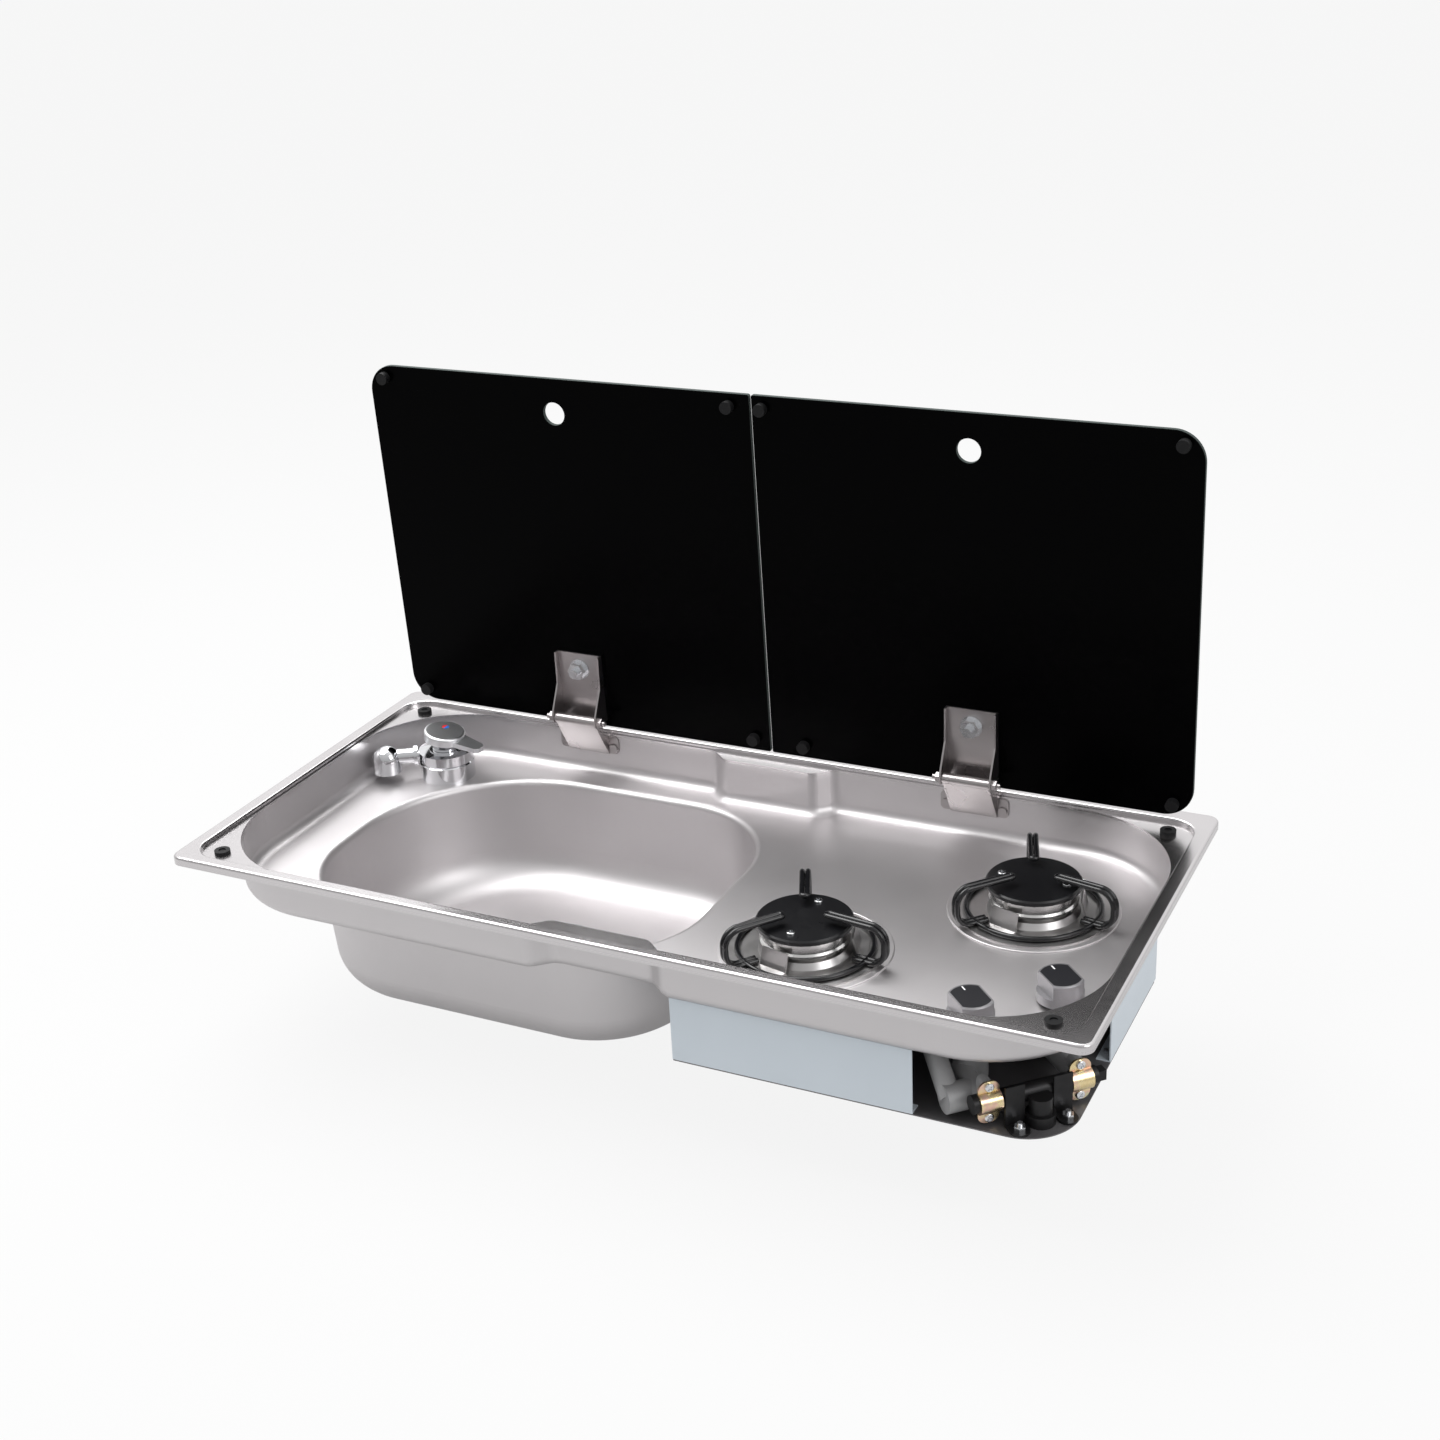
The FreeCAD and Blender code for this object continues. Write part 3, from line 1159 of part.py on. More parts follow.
def make_burner_base(where):
    """Burner base: an aluminium casting, a gas cup through the deck with a mixing tube toward its jet."""
    outer = "(burner_hole_radius - burner_hole_clearance)"
    inner = f"({outer} - burner_cup_wall)"
    bottom = f"({UNDERSIDE} - burner_cup_depth)"
    profile = [
        ("0", bottom),
        (outer, bottom),
        (outer, f"{FLANGE_TOP} - burner_flange_height"),
        ("burner_flange_radius", f"{FLANGE_TOP} - burner_flange_height"),
        ("burner_flange_radius", FLANGE_TOP),
        (inner, FLANGE_TOP),
        (inner, f"{bottom} + burner_cup_wall"),
        ("0", f"{bottom} + burner_cup_wall"),
    ]
    cup = turned(f"burner_cup_{where}", profile)
    tube = cylinder(f"burner_tube_{where}", "burner_tube_radius", f"burner_tube_reach - {inner}")
    place(tube, inner, "0", PIPE_Z, AXIS_Y, "90")
    throat = cylinder(f"burner_throat_{where}", "burner_throat_radius", "burner_tube_reach")
    place(throat, "0", "0", PIPE_Z, AXIS_Y, "90")
    space = cylinder(f"burner_space_{where}", inner, "burner_cup_depth", z=f"{bottom} + burner_cup_wall")
    casting = cut(f"burner_base_{where}", fuse(f"burner_casting_{where}", cup, tube), throat, space)
    return place(casting, *BURNER_SPOTS[where], "0", UP, burner_line(where)[0])


def make_burner_head(where):
    """Burner head: a turned aluminium ring with a row of flame ports, screwed down under the cap."""
    inner = "(burner_head_radius - burner_head_wall)"
    lip = "burner_head_radius + burner_lip_reach"
    profile = [
        (inner, FLANGE_TOP),
        (lip, FLANGE_TOP),
        (lip, f"{FLANGE_TOP} + burner_lip_height"),
        ("burner_head_radius", f"{FLANGE_TOP} + burner_lip_height + burner_lip_reach"),
        ("burner_head_radius", CAP_BASE),
        (inner, CAP_BASE),
    ]
    head = turned(f"burner_ring_{where}", profile)
    port = sketch_on(head, f"burner_port_{where}", "YZ_Plane", inner)
    circle(port, "burner_port_radius", "0", f"{CAP_BASE} - burner_port_drop")
    first = pocket(head, port, "burner_head_wall + cut_overrun", upward=True)
    pattern = head.newObject("PartDesign::PolarPattern", f"burner_ports_{where}")
    pattern.Originals = [first]
    pattern.Axis = (next(item for item in head.Origin.OriginFeatures if item.Role == "Z_Axis"), [""])
    pattern.Angle = 360
    bind(pattern, Occurrences="burner_port_count")
    head.Tip = pattern
    doc.recompute()
    drilled = cut(f"burner_head_{where}", head, *cap_screw_holes(f"head_{where}", where))
    return place(drilled, *BURNER_SPOTS[where])


def cap_screw_holes(name, where):
    holes = []
    for number, side in enumerate(("-1", "1"), start=1):
        x, y = cap_screw_spot(where, side)
        depth = f"{CAP_BASE} + burner_cap_height - cap_screw_length - cut_overrun"
        length = "cap_screw_length + 2 * cut_overrun"
        hole = cylinder(f"{name}_hole_{number}", "cap_screw_radius + thread_fit", length, x, y, depth)
        holes.append(hole)
    return holes


def cap_screw_spot(where, side):
    x = f"({side}) * cap_screw_offset * cos({where}_screw_angle)"
    y = f"({side}) * cap_screw_offset * sin({where}_screw_angle)"
    return x, y


def make_burner_cap(where):
    """Burner cap: a black enamelled steel disc over the burner head."""
    top = f"({CAP_BASE} + burner_cap_height)"
    profile = [
        ("0", CAP_BASE),
        ("burner_cap_radius", CAP_BASE),
        ("burner_cap_radius", f"{top} - burner_cap_edge"),
        ("burner_cap_radius - burner_cap_edge", top),
        ("0", top),
    ]
    blank = turned(f"burner_cap_blank_{where}", profile)
    holes = cap_screw_holes(f"cap_{where}", where)
    return place(cut(f"burner_cap_{where}", blank, *holes), *BURNER_SPOTS[where])


def make_cap_screws(where):
    screws = []
    top = f"({CAP_BASE} + burner_cap_height)"
    for number, side in enumerate(("-1", "1"), start=1):
        name = f"cap_screw_{where}_{number}"
        x, y = cap_screw_spot(where, side)
        head = cylinder(f"{name}_head", "cap_screw_head_radius", "cap_screw_head_height", x, y, top)
        end = f"{top} - cap_screw_length"
        shank = cylinder(f"{name}_shank", "cap_screw_radius", "cap_screw_length", x, y, end)
        screws.append(place(fuse(name, head, shank), *BURNER_SPOTS[where]))
    return screws


def arc_through(start, middle, end):
    return Part.Arc(start, middle, end).toShape()


def bend_middle(centre, radius, first, second):
    """The middle of a quarter bend, between two level or upright unit directions."""
    return centre + (first + second) * (radius / math.sqrt(2))


def support_arm(base):
    """One arm of a pan support: a wire folded double, out from the ring, up, and back over the burner."""
    bend, reach = value("wire_bend"), value("wire_reach")
    top = value(f"{DECK} + wire_top") - base
    half = value("wire_pair / 2")
    tip = value("wire_tip")
    out, rise = AXIS_X, UP
    runs = []
    for side in (half, -half):
        shift = FreeCAD.Vector(0, side, 0)
        foot = shift + out * value("wire_foot")
        low = shift + out * (reach - bend)
        heel = shift + out * reach + rise * bend
        shoulder = shift + out * reach + rise * (top - bend)
        high = shift + out * (reach - bend) + rise * top
        end = shift + out * tip + rise * top
        low_centre = low + rise * bend
        high_centre = high - rise * bend
        lower = arc_through(low, bend_middle(low_centre, bend, out, -rise), heel)
        upper = arc_through(shoulder, bend_middle(high_centre, bend, out, rise), high)
        base_run = Part.makeLine(foot, low)
        riser = Part.makeLine(heel, shoulder)
        top_run = Part.makeLine(high, end)
        runs.append(([base_run, lower, riser, upper, top_run], end))
    (first, near), (second, far) = runs
    fold = arc_through(near, (near + far) * 0.5 - out * half, far)
    path = Part.Wire(first + [fold] + second[::-1])
    section = Part.Wire(Part.makeCircle(value("wire_radius"), first[0].Vertexes[0].Point, out))
    return path.makePipeShell([section], True, False)


def make_pan_support(where):
    """Pan support: black enamelled wire, a base ring with three arms, clipped down on the burner dish."""
    base = value(f"{DECK} + burner_dish_gauge + wire_radius")
    hoop = Part.makeTorus(value("wire_ring_radius"), value("wire_radius"))
    arms = []
    for number in range(3):
        arm = support_arm(base)
        arm.rotate(FreeCAD.Vector(), UP, value(f"{where}_support_angle") + number * 120)
        arms.append(arm)
    support = doc.addObject("Part::Feature", f"pan_support_{where}")
    support.Shape = hoop.multiFuse(arms)
    x, y = BURNER_SPOTS[where]
    place(support, x, y, f"{DECK} + burner_dish_gauge + wire_radius")


def make_clips(where):
    """Support clips: chromed strips spot-welded to the dish, which keep the pan support's ring centred."""
    flat = f"({DECK} + burner_dish_gauge)"
    top = f"({flat} + clip_top)"
    clips = []
    for number in range(3):
        clip = new_body(f"clip_{where}_{number + 1}")
        strip = sketch_on(clip, f"clip_{where}_{number + 1}_profile", "XZ_Plane")
        profile = [
            ("clip_foot_inner", flat),
            ("clip_foot_outer", flat),
            ("clip_foot_outer", f"{flat} + clip_gauge"),
            ("clip_foot_inner + clip_gauge", f"{flat} + clip_gauge"),
            ("clip_foot_inner + clip_gauge - clip_lean", top),
            ("clip_foot_inner - clip_lean", top),
        ]
        polygon(strip, profile)
        pad(clip, strip, "clip_width", symmetric=True)
        angle = f"{where}_support_angle + clip_angle + {number * 120}"
        clips.append(place(clip, *BURNER_SPOTS[where], "0", UP, angle))
    return clips


def panel(name, wall, top, bottom, screws):
    """A folded side of the gas box: a wall with a flange under the deck and one on the floor plate."""
    folds = (("wall", wall), ("top", top), ("bottom", bottom))
    pieces = [box(f"{name}_{fold}", *sizes) for fold, sizes in folds]
    holes = []
    for number, spot in enumerate(screws, start=1):
        radius = "box_screw_radius + box_screw_fit"
        hole = cylinder(f"{name}_hole_{number}", radius, "3 * box_gauge", *spot, f"{BOX_FLOOR} - box_gauge")
        holes.append(hole)
    return cut(name, fuse(f"{name}_folds", *pieces), *holes)


def make_gas_box():
    """Gas box: four folded panels and a floor plate that close in the hob below the deck."""
    roof = f"({UNDERSIDE} - box_gauge)"
    rise = "(box_depth)"
    edge = "(box_flange + 2 * box_gauge)"
    across = f"({BOX_RIGHT} - {BOX_LEFT})"
    front_y, rear_y = f"({BOX_FRONT} + box_gauge)", f"({BOX_REAR} - box_gauge)"
    left_x, right_x = f"({BOX_LEFT} + box_gauge)", f"({BOX_RIGHT} - box_gauge)"
    front_in = f"({BOX_FRONT_LENGTH} - box_flange - 2 * box_gauge)"
    side_length = f"({BOX_REAR} - box_gauge - {BOX_SIDE_FRONT})"
    left_length = f"({rear_y} - {front_y})"
    half = "(box_gauge + box_flange / 2)"
    front_screws = [(f"{BOX_LEFT} + {edge} + box_flange", f"{BOX_FRONT} + {half}"),
                    (f"{BOX_LEFT} + {BOX_FRONT_LENGTH} - box_flange", f"{BOX_FRONT} + {half}")]
    right_screws = [(f"{BOX_RIGHT} - {half}", f"{BOX_SIDE_FRONT} + box_flange"),
                    (f"{BOX_RIGHT} - {half}", f"{BOX_REAR} - {edge} - box_flange")]
    left_screws = [(f"{BOX_LEFT} + {half}", f"{BOX_FRONT} + {edge} + box_flange"),
                   (f"{BOX_LEFT} + {half}", f"{BOX_REAR} - {edge} - box_flange")]
    rear_screws = [(f"{BOX_LEFT} + {edge} + box_flange", f"{BOX_REAR} - {half}"),
                   (f"{BOX_RIGHT} - {edge} - box_flange", f"{BOX_REAR} - {half}")]
    flange, gauge = "box_flange", "box_gauge"
    front_at = (f"{BOX_LEFT} + {edge}", front_y)
    front_wall = (BOX_FRONT_LENGTH, gauge, rise, BOX_LEFT, BOX_FRONT, BOX_FLOOR)
    front_folds = [(front_in, flange, gauge, *front_at, height) for height in (roof, BOX_FLOOR)]
    panel("gas_box_front", front_wall, *front_folds, front_screws)
    right_fold = f"{side_length} - {flange} - {gauge}"
    right_at = (f"{right_x} - {flange}", BOX_SIDE_FRONT)
    right_wall = (gauge, side_length, rise, right_x, BOX_SIDE_FRONT, BOX_FLOOR)
    right_folds = [(flange, right_fold, gauge, *right_at, height) for height in (roof, BOX_FLOOR)]
    panel("gas_box_right", right_wall, *right_folds, right_screws)
    left_fold = f"{left_length} - 2 * {flange} - 2 * {gauge}"
    left_at = (left_x, f"{front_y} + {flange} + {gauge}")
    left_wall = (gauge, left_length, rise, BOX_LEFT, front_y, BOX_FLOOR)
    left_folds = [(flange, left_fold, gauge, *left_at, height) for height in (roof, BOX_FLOOR)]
    panel("gas_box_left", left_wall, *left_folds, left_screws)
    rear_wall = (across, gauge, rise, BOX_LEFT, rear_y, BOX_FLOOR)
    rear_top = (across, flange, gauge, BOX_LEFT, BOX_REAR, roof)
    rear_at = (f"{BOX_LEFT} + {edge}", f"{rear_y} - {flange}", BOX_FLOOR)
    rear_bottom = (f"{across} - 2 * {edge}", flange, gauge, *rear_at)
    panel("gas_box_rear", rear_wall, rear_top, rear_bottom, rear_screws)
    plate = new_body("gas_box_plate")
    outline = sketch_on(plate, "gas_box_outline", offset=f"{BOX_FLOOR} - box_gauge")
    small = "box_flange / 2"
    corners = ["box_gauge", "box_floor_corner", small, "box_gauge"]
    rounded_rectangle(outline, BOX_LEFT, BOX_RIGHT, BOX_FRONT, BOX_REAR, corners)
    pad(plate, outline, "box_gauge")
    spots = front_screws + right_screws + left_screws + rear_screws
    below = f"({BOX_FLOOR} - box_gauge)"
    holes = []
    screws = []
    for number, (x, y) in enumerate(spots, start=1):
        hole = "box_screw_radius + box_screw_fit"
        start = f"{below} - box_gauge"
        holes.append(cylinder(f"box_floor_hole_{number}", hole, "3 * box_gauge", x, y, start))
        shank = cylinder(f"box_screw_shank_{number}", "box_screw_radius", "box_screw_length", x, y, below)
        head = cylinder(f"box_screw_head_{number}", "box_screw_head_radius", "box_screw_head_height")
        place(head, x, y, f"{below} - box_screw_head_height")
        screws.append(fuse(f"box_screw_{number}", shank, head))
    depth = f"{below} - box_gauge"
    holes.append(cylinder("inlet_hole", "inlet_hole_radius", "3 * box_gauge", UNION_X, UNION_Y, depth))
    cut("gas_box_floor", plate, *holes)
    group("gas_box_screws", *screws)


def at_knob(item, where):
    """Set a piece down under or over a gas knob, turned to face the corner."""
    x, y = knob_spot(where)
    return place(item, x, y, "0", UP, "cluster_angle")


def make_valve(where):
    """Gas tap: a die-cast body hung under the deck, with an arm to a saddle on the gas rail."""
    foot = f"({UNDERSIDE} - valve_depth)"
    barrel = cylinder(f"valve_barrel_{where}", "valve_radius", "valve_depth", z=foot)
    arm = cylinder(f"valve_arm_{where}", "valve_arm_radius", "rail_offset")
    place(arm, "-valve_shift", "0", RAIL_Z, AXIS_X, "90")
    block = box(f"valve_block_{where}", "valve_block_width", "valve_block_depth", "clamp_screw_spacing")
    place(block, "-valve_shift - valve_block_width / 2", "-rail_offset", f"{RAIL_Z} - clamp_screw_spacing / 2")
    pieces = [barrel, arm, block]
    depth = "(stem_depth + stem_travel)"
    bore = cylinder(f"valve_bore_{where}", "stem_radius + stem_fit", depth, z=f"{DECK} - {depth}")
    saddle = cylinder(f"valve_saddle_{where}", "rail_radius + thread_fit", "2 * clamp_width")
    place(saddle, "-valve_shift - clamp_width", "-rail_offset", RAIL_Z, AXIS_Y, "90")
    holes = []
    for number, side in enumerate(("-1", "1"), start=1):
        z = f"{RAIL_Z} + ({side}) * clamp_screw_spacing / 2"
        boss = cylinder(f"valve_boss_{where}_{number}", "valve_block_width / 2", "valve_block_depth")
        pieces.append(place(boss, "-valve_shift", "valve_block_depth - rail_offset", z, AXIS_X, "90"))
        hole = cylinder(f"valve_hole_{where}_{number}", CLAMP_HOLE, "clamp_screw_length")
        start = "clamp_screw_length - rail_offset - clamp_gauge"
        holes.append(place(hole, "-valve_shift", start, z, AXIS_X, "90"))
    if where == "front":
        pieces += front_nozzle()
    solid = fuse(f"valve_solid_{where}", *pieces)
    return at_knob(cut(f"gas_valve_{where}", solid, bore, saddle, *holes), where)


def front_nozzle():
    """The front gas tap's outlet: a stout nozzle along the rail, and an elbow that rises from its end."""
    z = f"({DECK} - nozzle_drop)"
    nozzle = cylinder("nozzle_barrel", "nozzle_radius", "nozzle_reach - valve_shift")
    place(nozzle, "-nozzle_reach", "-nozzle_offset", z, AXIS_Y, "90")
    elbow = cylinder("nozzle_elbow", "elbow_radius", "elbow_length")
    place(elbow, "elbow_inset - nozzle_reach", "-nozzle_offset", z, AXIS_X, "elbow_angle")
    return [nozzle, elbow]


def make_clamp(where):
    """Rail clamp: a gold-passivated saddle that pulls the rail into the gas tap, with its two screws."""
    front = "(-rail_offset)"
    plate = new_body(f"clamp_plate_{where}")
    outline = sketch_on(plate, f"clamp_outline_{where}", "XZ_Plane", "rail_offset")
    left, right = "-valve_shift - clamp_width / 2", "clamp_width / 2 - valve_shift"
    low, high = f"{RAIL_Z} - clamp_height / 2", f"{RAIL_Z} + clamp_height / 2"
    rounded_rectangle(outline, left, right, low, high, "clamp_corner")
    pad(plate, outline, "clamp_gauge")
    arch = cylinder(f"clamp_arch_{where}", "rail_radius + clamp_gauge", "clamp_width")
    place(arch, "-valve_shift - clamp_width / 2", front, RAIL_Z, AXIS_Y, "90")
    bed = cylinder(f"clamp_bed_{where}", "rail_radius + thread_fit", "2 * clamp_width")
    place(bed, "-valve_shift - clamp_width", front, RAIL_Z, AXIS_Y, "90")
    back = box(f"clamp_back_{where}", "2 * clamp_width", "clamp_width", "clamp_height")
    place(back, "-valve_shift - clamp_width", front, f"{RAIL_Z} - clamp_height / 2")
    holes = []
    screws = []
    for number, side in enumerate(("-1", "1"), start=1):
        z = f"{RAIL_Z} + ({side}) * clamp_screw_spacing / 2"
        hole = cylinder(f"clamp_hole_{where}_{number}", CLAMP_HOLE, "clamp_screw_length")
        holes.append(place(hole, "-valve_shift", front, z, AXIS_X, "90"))
        length = "(clamp_screw_length - cut_overrun)"
        shank = cylinder(f"clamp_shank_{where}_{number}", "clamp_screw_radius", length)
        place(shank, "-valve_shift", f"{front} + {length} - clamp_gauge", z, AXIS_X, "90")
        head = cylinder(f"clamp_head_{where}_{number}", "clamp_screw_head_radius", "clamp_screw_head_height")
        place(head, "-valve_shift", f"{front} - clamp_gauge", z, AXIS_X, "90")
        screws.append(at_knob(fuse(f"clamp_screw_{where}_{number}", shank, head), where))
    solid = fuse(f"clamp_solid_{where}", plate, arch)
    return at_knob(cut(f"rail_clamp_{where}", solid, bed, back, *holes), where), screws


def at_cluster(item):
    return place(item, CLUSTER_X, CLUSTER_Y, "0", UP, "cluster_angle")


def make_rail():
    """Gas rail: a steel tube across the corner, with a square plug, a floor bracket and the inlet union."""
    left_end = "(-rail_shift - rail_length / 2)"
    tube = cylinder("rail_tube", "rail_radius", "rail_length")
    place(tube, left_end, "-rail_offset", RAIL_Z, AXIS_Y, "90")
    bore = cylinder("rail_bore", "rail_radius - rail_wall", "rail_length")
    place(bore, f"{left_end} + 2 * rail_wall", "-rail_offset", RAIL_Z, AXIS_Y, "90")
    at_cluster(cut("gas_rail", tube, bore))
    right_end = f"({left_end} + rail_length)"
    shank = cylinder("rail_plug_shank", "rail_radius - rail_wall - thread_fit", "rail_plug_length")
    place(shank, f"{right_end} - rail_plug_length", "-rail_offset", RAIL_Z, AXIS_Y, "90")
    square = box("rail_plug_square", "rail_plug_length", "rail_plug_size", "rail_plug_size")
    place(square, right_end, "-rail_offset - rail_plug_size / 2", f"{RAIL_Z} - rail_plug_size / 2")
    at_cluster(fuse("rail_plug", shank, square))
    face = "(-rail_offset - rail_radius - bracket_gauge)"
    toe = "(-rail_offset - rail_radius - bracket_foot)"
    tabs = []
    nuts = []
    for number, side in enumerate(("-1", "1"), start=1):
        left = f"(-rail_shift + ({side}) * bracket_spacing / 2 - bracket_width / 2)"
        tab = box(f"bracket_tab_{number}", "bracket_width", "bracket_gauge", "bracket_height")
        place(tab, left, face, BOX_FLOOR)
        foot = box(f"bracket_foot_{number}", "bracket_width", "bracket_foot", "bracket_gauge")
        place(foot, left, toe, BOX_FLOOR)
        x = f"{left} + bracket_width / 2"
        end = cylinder(f"bracket_toe_{number}", "bracket_width / 2", "bracket_gauge", x, toe, BOX_FLOOR)
        radius = "bracket_stud_radius + bracket_stud_fit"
        start = f"{BOX_FLOOR} - bracket_gauge"
        hole = cylinder(f"bracket_hole_{number}", radius, "3 * bracket_gauge", x, toe, start)
        fold = fuse(f"bracket_fold_{number}", tab, foot, end)
        tabs.append(at_cluster(cut(f"bracket_leg_{number}", fold, hole)))
        stud = cylinder(f"bracket_stud_{number}", "bracket_stud_radius", "bracket_stud_length")
        place(stud, x, toe, BOX_FLOOR)
        nut = hexagon(f"bracket_hex_{number}", "bracket_nut_size", "bracket_nut_height")
        place(nut, x, toe, f"{BOX_FLOOR} + bracket_gauge")
        nuts.append(at_cluster(fuse(f"bracket_nut_{number}", stud, nut)))
    group("rail_bracket", *tabs)
    group("bracket_nuts", *nuts)
    axis = ("-rail_shift", f"-{UNION_OFFSET}", BOX_FLOOR)
    barrel = cylinder("union_barrel", "union_radius", "union_height", *axis)
    collar = cylinder("union_collar", "union_flange_radius", "union_flange_height", *axis)
    body = fuse("union_body", barrel, collar)
    mouth = cylinder("inlet_mouth", "inlet_radius", "inlet_depth", *axis)
    seat = cylinder("union_seat", "rail_radius", "4 * union_radius")
    place(seat, "-rail_shift - 2 * union_radius", "-rail_offset", RAIL_Z, AXIS_Y, "90")
    at_cluster(cut("gas_inlet", body, seat, mouth))


def make_gas_line(where):
    """Gas line of one burner: a steel pipe from the gas tap to a brass jet at the mixing tube's mouth."""
    angle, length = burner_line(where)
    start = "(burner_tube_reach + jet_gap)"
    flats = hexagon(f"jet_flats_{where}", "jet_size", "jet_length")
    place(flats, start, "0", PIPE_Z, AXIS_Y, "90")
    nose = cylinder(f"jet_nose_{where}", "jet_nose_radius", "jet_nose_length + jet_length / 2")
    place(nose, f"{start} - jet_nose_length", "0", PIPE_Z, AXIS_Y, "90")
    jet = place(fuse(f"jet_{where}", flats, nose), *BURNER_SPOTS[where], "0", UP, angle)
    tube = cylinder(f"gas_tube_{where}", "pipe_radius", f"{length} - {start} - jet_length - valve_radius")
    place(tube, f"{start} + jet_length", "0", PIPE_Z, AXIS_Y, "90")
    pipe = place(group(f"gas_pipe_{where}", tube), *BURNER_SPOTS[where], "0", UP, angle)
    return jet, pipe


def make_knob(where):
    """Gas knob: a silver knob with two flats and a black inlay on a steel stem, over a sprung cup."""
    bottom = f"({DECK} + knob_gap)"
    top = f"({bottom} + knob_height)"
    roof = f"({bottom} + knob_hollow)"
    skirt = "(knob_radius - knob_wall)"
    stem_end = f"({DECK} + stem_top)"
    boss = f"({bottom} + knob_wall / 2)"
    profile = [
        ("stem_radius", boss),
        ("knob_boss_radius", boss),
        ("knob_boss_radius", roof),
        (skirt, roof),
        (skirt, bottom),
        ("knob_radius", bottom),
        ("knob_radius", f"{top} - knob_edge"),
        ("knob_radius - knob_edge", top),
        ("0", top),
        ("0", stem_end),
        ("stem_radius", stem_end),
    ]
    blank = turned(f"knob_blank_{where}", profile)
    flats = []
    for number, y in enumerate(("knob_flat", "-knob_flat - knob_radius"), start=1):
        height = "knob_flat_height + cut_overrun"
        flat = box(f"knob_flat_{where}_{number}", "2 * knob_radius", "knob_radius", height)
        flats.append(place(flat, "-knob_radius", y, f"{top} - knob_flat_height"))
    seat = f"{top} - inlay_depth"
    disc = cylinder(f"inlay_disc_{where}", "knob_radius - knob_edge - inlay_margin", "inlay_depth", z=seat)
    strip = box(f"inlay_strip_{where}", "2 * knob_radius", "2 * (knob_flat - inlay_margin)", "inlay_depth")
    place(strip, "-knob_radius", "inlay_margin - knob_flat", seat)
    plate = doc.addObject("Part::Common", f"inlay_{where}")
    plate.Base = disc
    plate.Tool = strip
    knob = cut(f"knob_{where}", blank, *flats, plate)
    stem = cylinder(f"stem_rod_{where}", "stem_radius", "stem_depth + stem_top", z=f"{DECK} - stem_depth")
    inlay = group(f"knob_inlay_{where}", plate)
    spindle = group(f"knob_stem_{where}", stem)
    x, y = knob_spot(where)
    for item in (knob, inlay, spindle):
        place(item, x, y, "0", UP, "cluster_angle - 90")
    lift = f"{bottom} + collar_lift"
    ring(f"spring_cup_{where}", "knob_boss_radius + collar_fit", "collar_radius", "collar_height", x, y, lift)


make_tray()
make_bowl()
make_gasket()
make_buttons()
make_waste()
make_tap()
make_spout()
make_lever()
LIDS = (("left", "-1"), ("right", "1"))
for lid, lid_side in LIDS:
    make_glass(lid, lid_side)
    make_leaf(lid, lid_side)
    make_hinge_fixings(lid, lid_side)
group("hinge_bases", *[make_hinge_base(lid, lid_side) for lid, lid_side in LIDS])
make_rivets()
BURNERS = ("front", "rear")
group("burner_dishes", *[make_burner_dish(where) for where in BURNERS])
group("burner_bases", *[make_burner_base(where) for where in BURNERS])
group("burner_heads", *[make_burner_head(where) for where in BURNERS])
group("burner_caps", *[make_burner_cap(where) for where in BURNERS])
group("cap_screws", *[screw for where in BURNERS for screw in make_cap_screws(where)])
group("support_clips", *[clip for where in BURNERS for clip in make_clips(where)])
make_gas_box()
group("gas_valves", *[make_valve(where) for where in BURNERS])
clamp_sets = [make_clamp(where) for where in BURNERS]
group("rail_clamps", *[clamp for clamp, screws in clamp_sets])
group("clamp_screws", *[screw for clamp, screws in clamp_sets for screw in screws])
make_rail()
gas_lines = [make_gas_line(where) for where in BURNERS]
group("gas_jets", *[jet for jet, pipe in gas_lines])
group("gas_pipes", *[pipe for jet, pipe in gas_lines])
for burner in BURNERS:
    make_pan_support(burner)
    make_knob(burner)
doc.recompute()

NODES = [
    "tray", "sink_bowl", "rim_gasket", "ledge_buttons",
    "waste_fitting", "waste_seal", "waste_nut", "sink_plug",
    "tap_body", "tap_seal", "tap_nut", "tap_tails", "tap_spout", "tap_turret", "tap_lever_pin", "tap_lever",
    "glass_left", "bumpers_left", "hinge_leaf_left", "hinge_pin_left", "lid_bolt_left",
    "glass_right", "bumpers_right", "hinge_leaf_right", "hinge_pin_right", "lid_bolt_right",
    "hinge_bases", "hinge_rivets",
    "burner_dishes", "burner_bases", "burner_heads", "burner_caps", "cap_screws", "support_clips",
    "pan_support_front", "pan_support_rear",
    "gas_box_front", "gas_box_right", "gas_box_left", "gas_box_rear", "gas_box_floor", "gas_box_screws",
    "gas_valves", "rail_clamps", "clamp_screws", "gas_rail", "rail_plug", "rail_bracket", "bracket_nuts",
    "gas_inlet", "gas_jets", "gas_pipes",
    "knob_front", "knob_inlay_front", "knob_stem_front", "spring_cup_front",
    "knob_rear", "knob_inlay_rear", "knob_stem_rear", "spring_cup_rear",
]
for item in doc.Objects:
    if "Invalid" in item.State or "Error" in item.State:
        raise RuntimeError(f"{item.Name} did not build: {item.State}")
os.makedirs("parts", exist_ok=True)
for name in NODES:
    node = doc.getObject(name)
    node.Label = name
    if node.Shape.isNull() or not node.Shape.isValid() or not node.Shape.Solids:
        raise RuntimeError(f"{name} has no sound solid")
    node.Shape.exportStep(f"parts/{name}.step")
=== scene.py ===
import json
import math
import bpy
from mathutils import Matrix, Vector


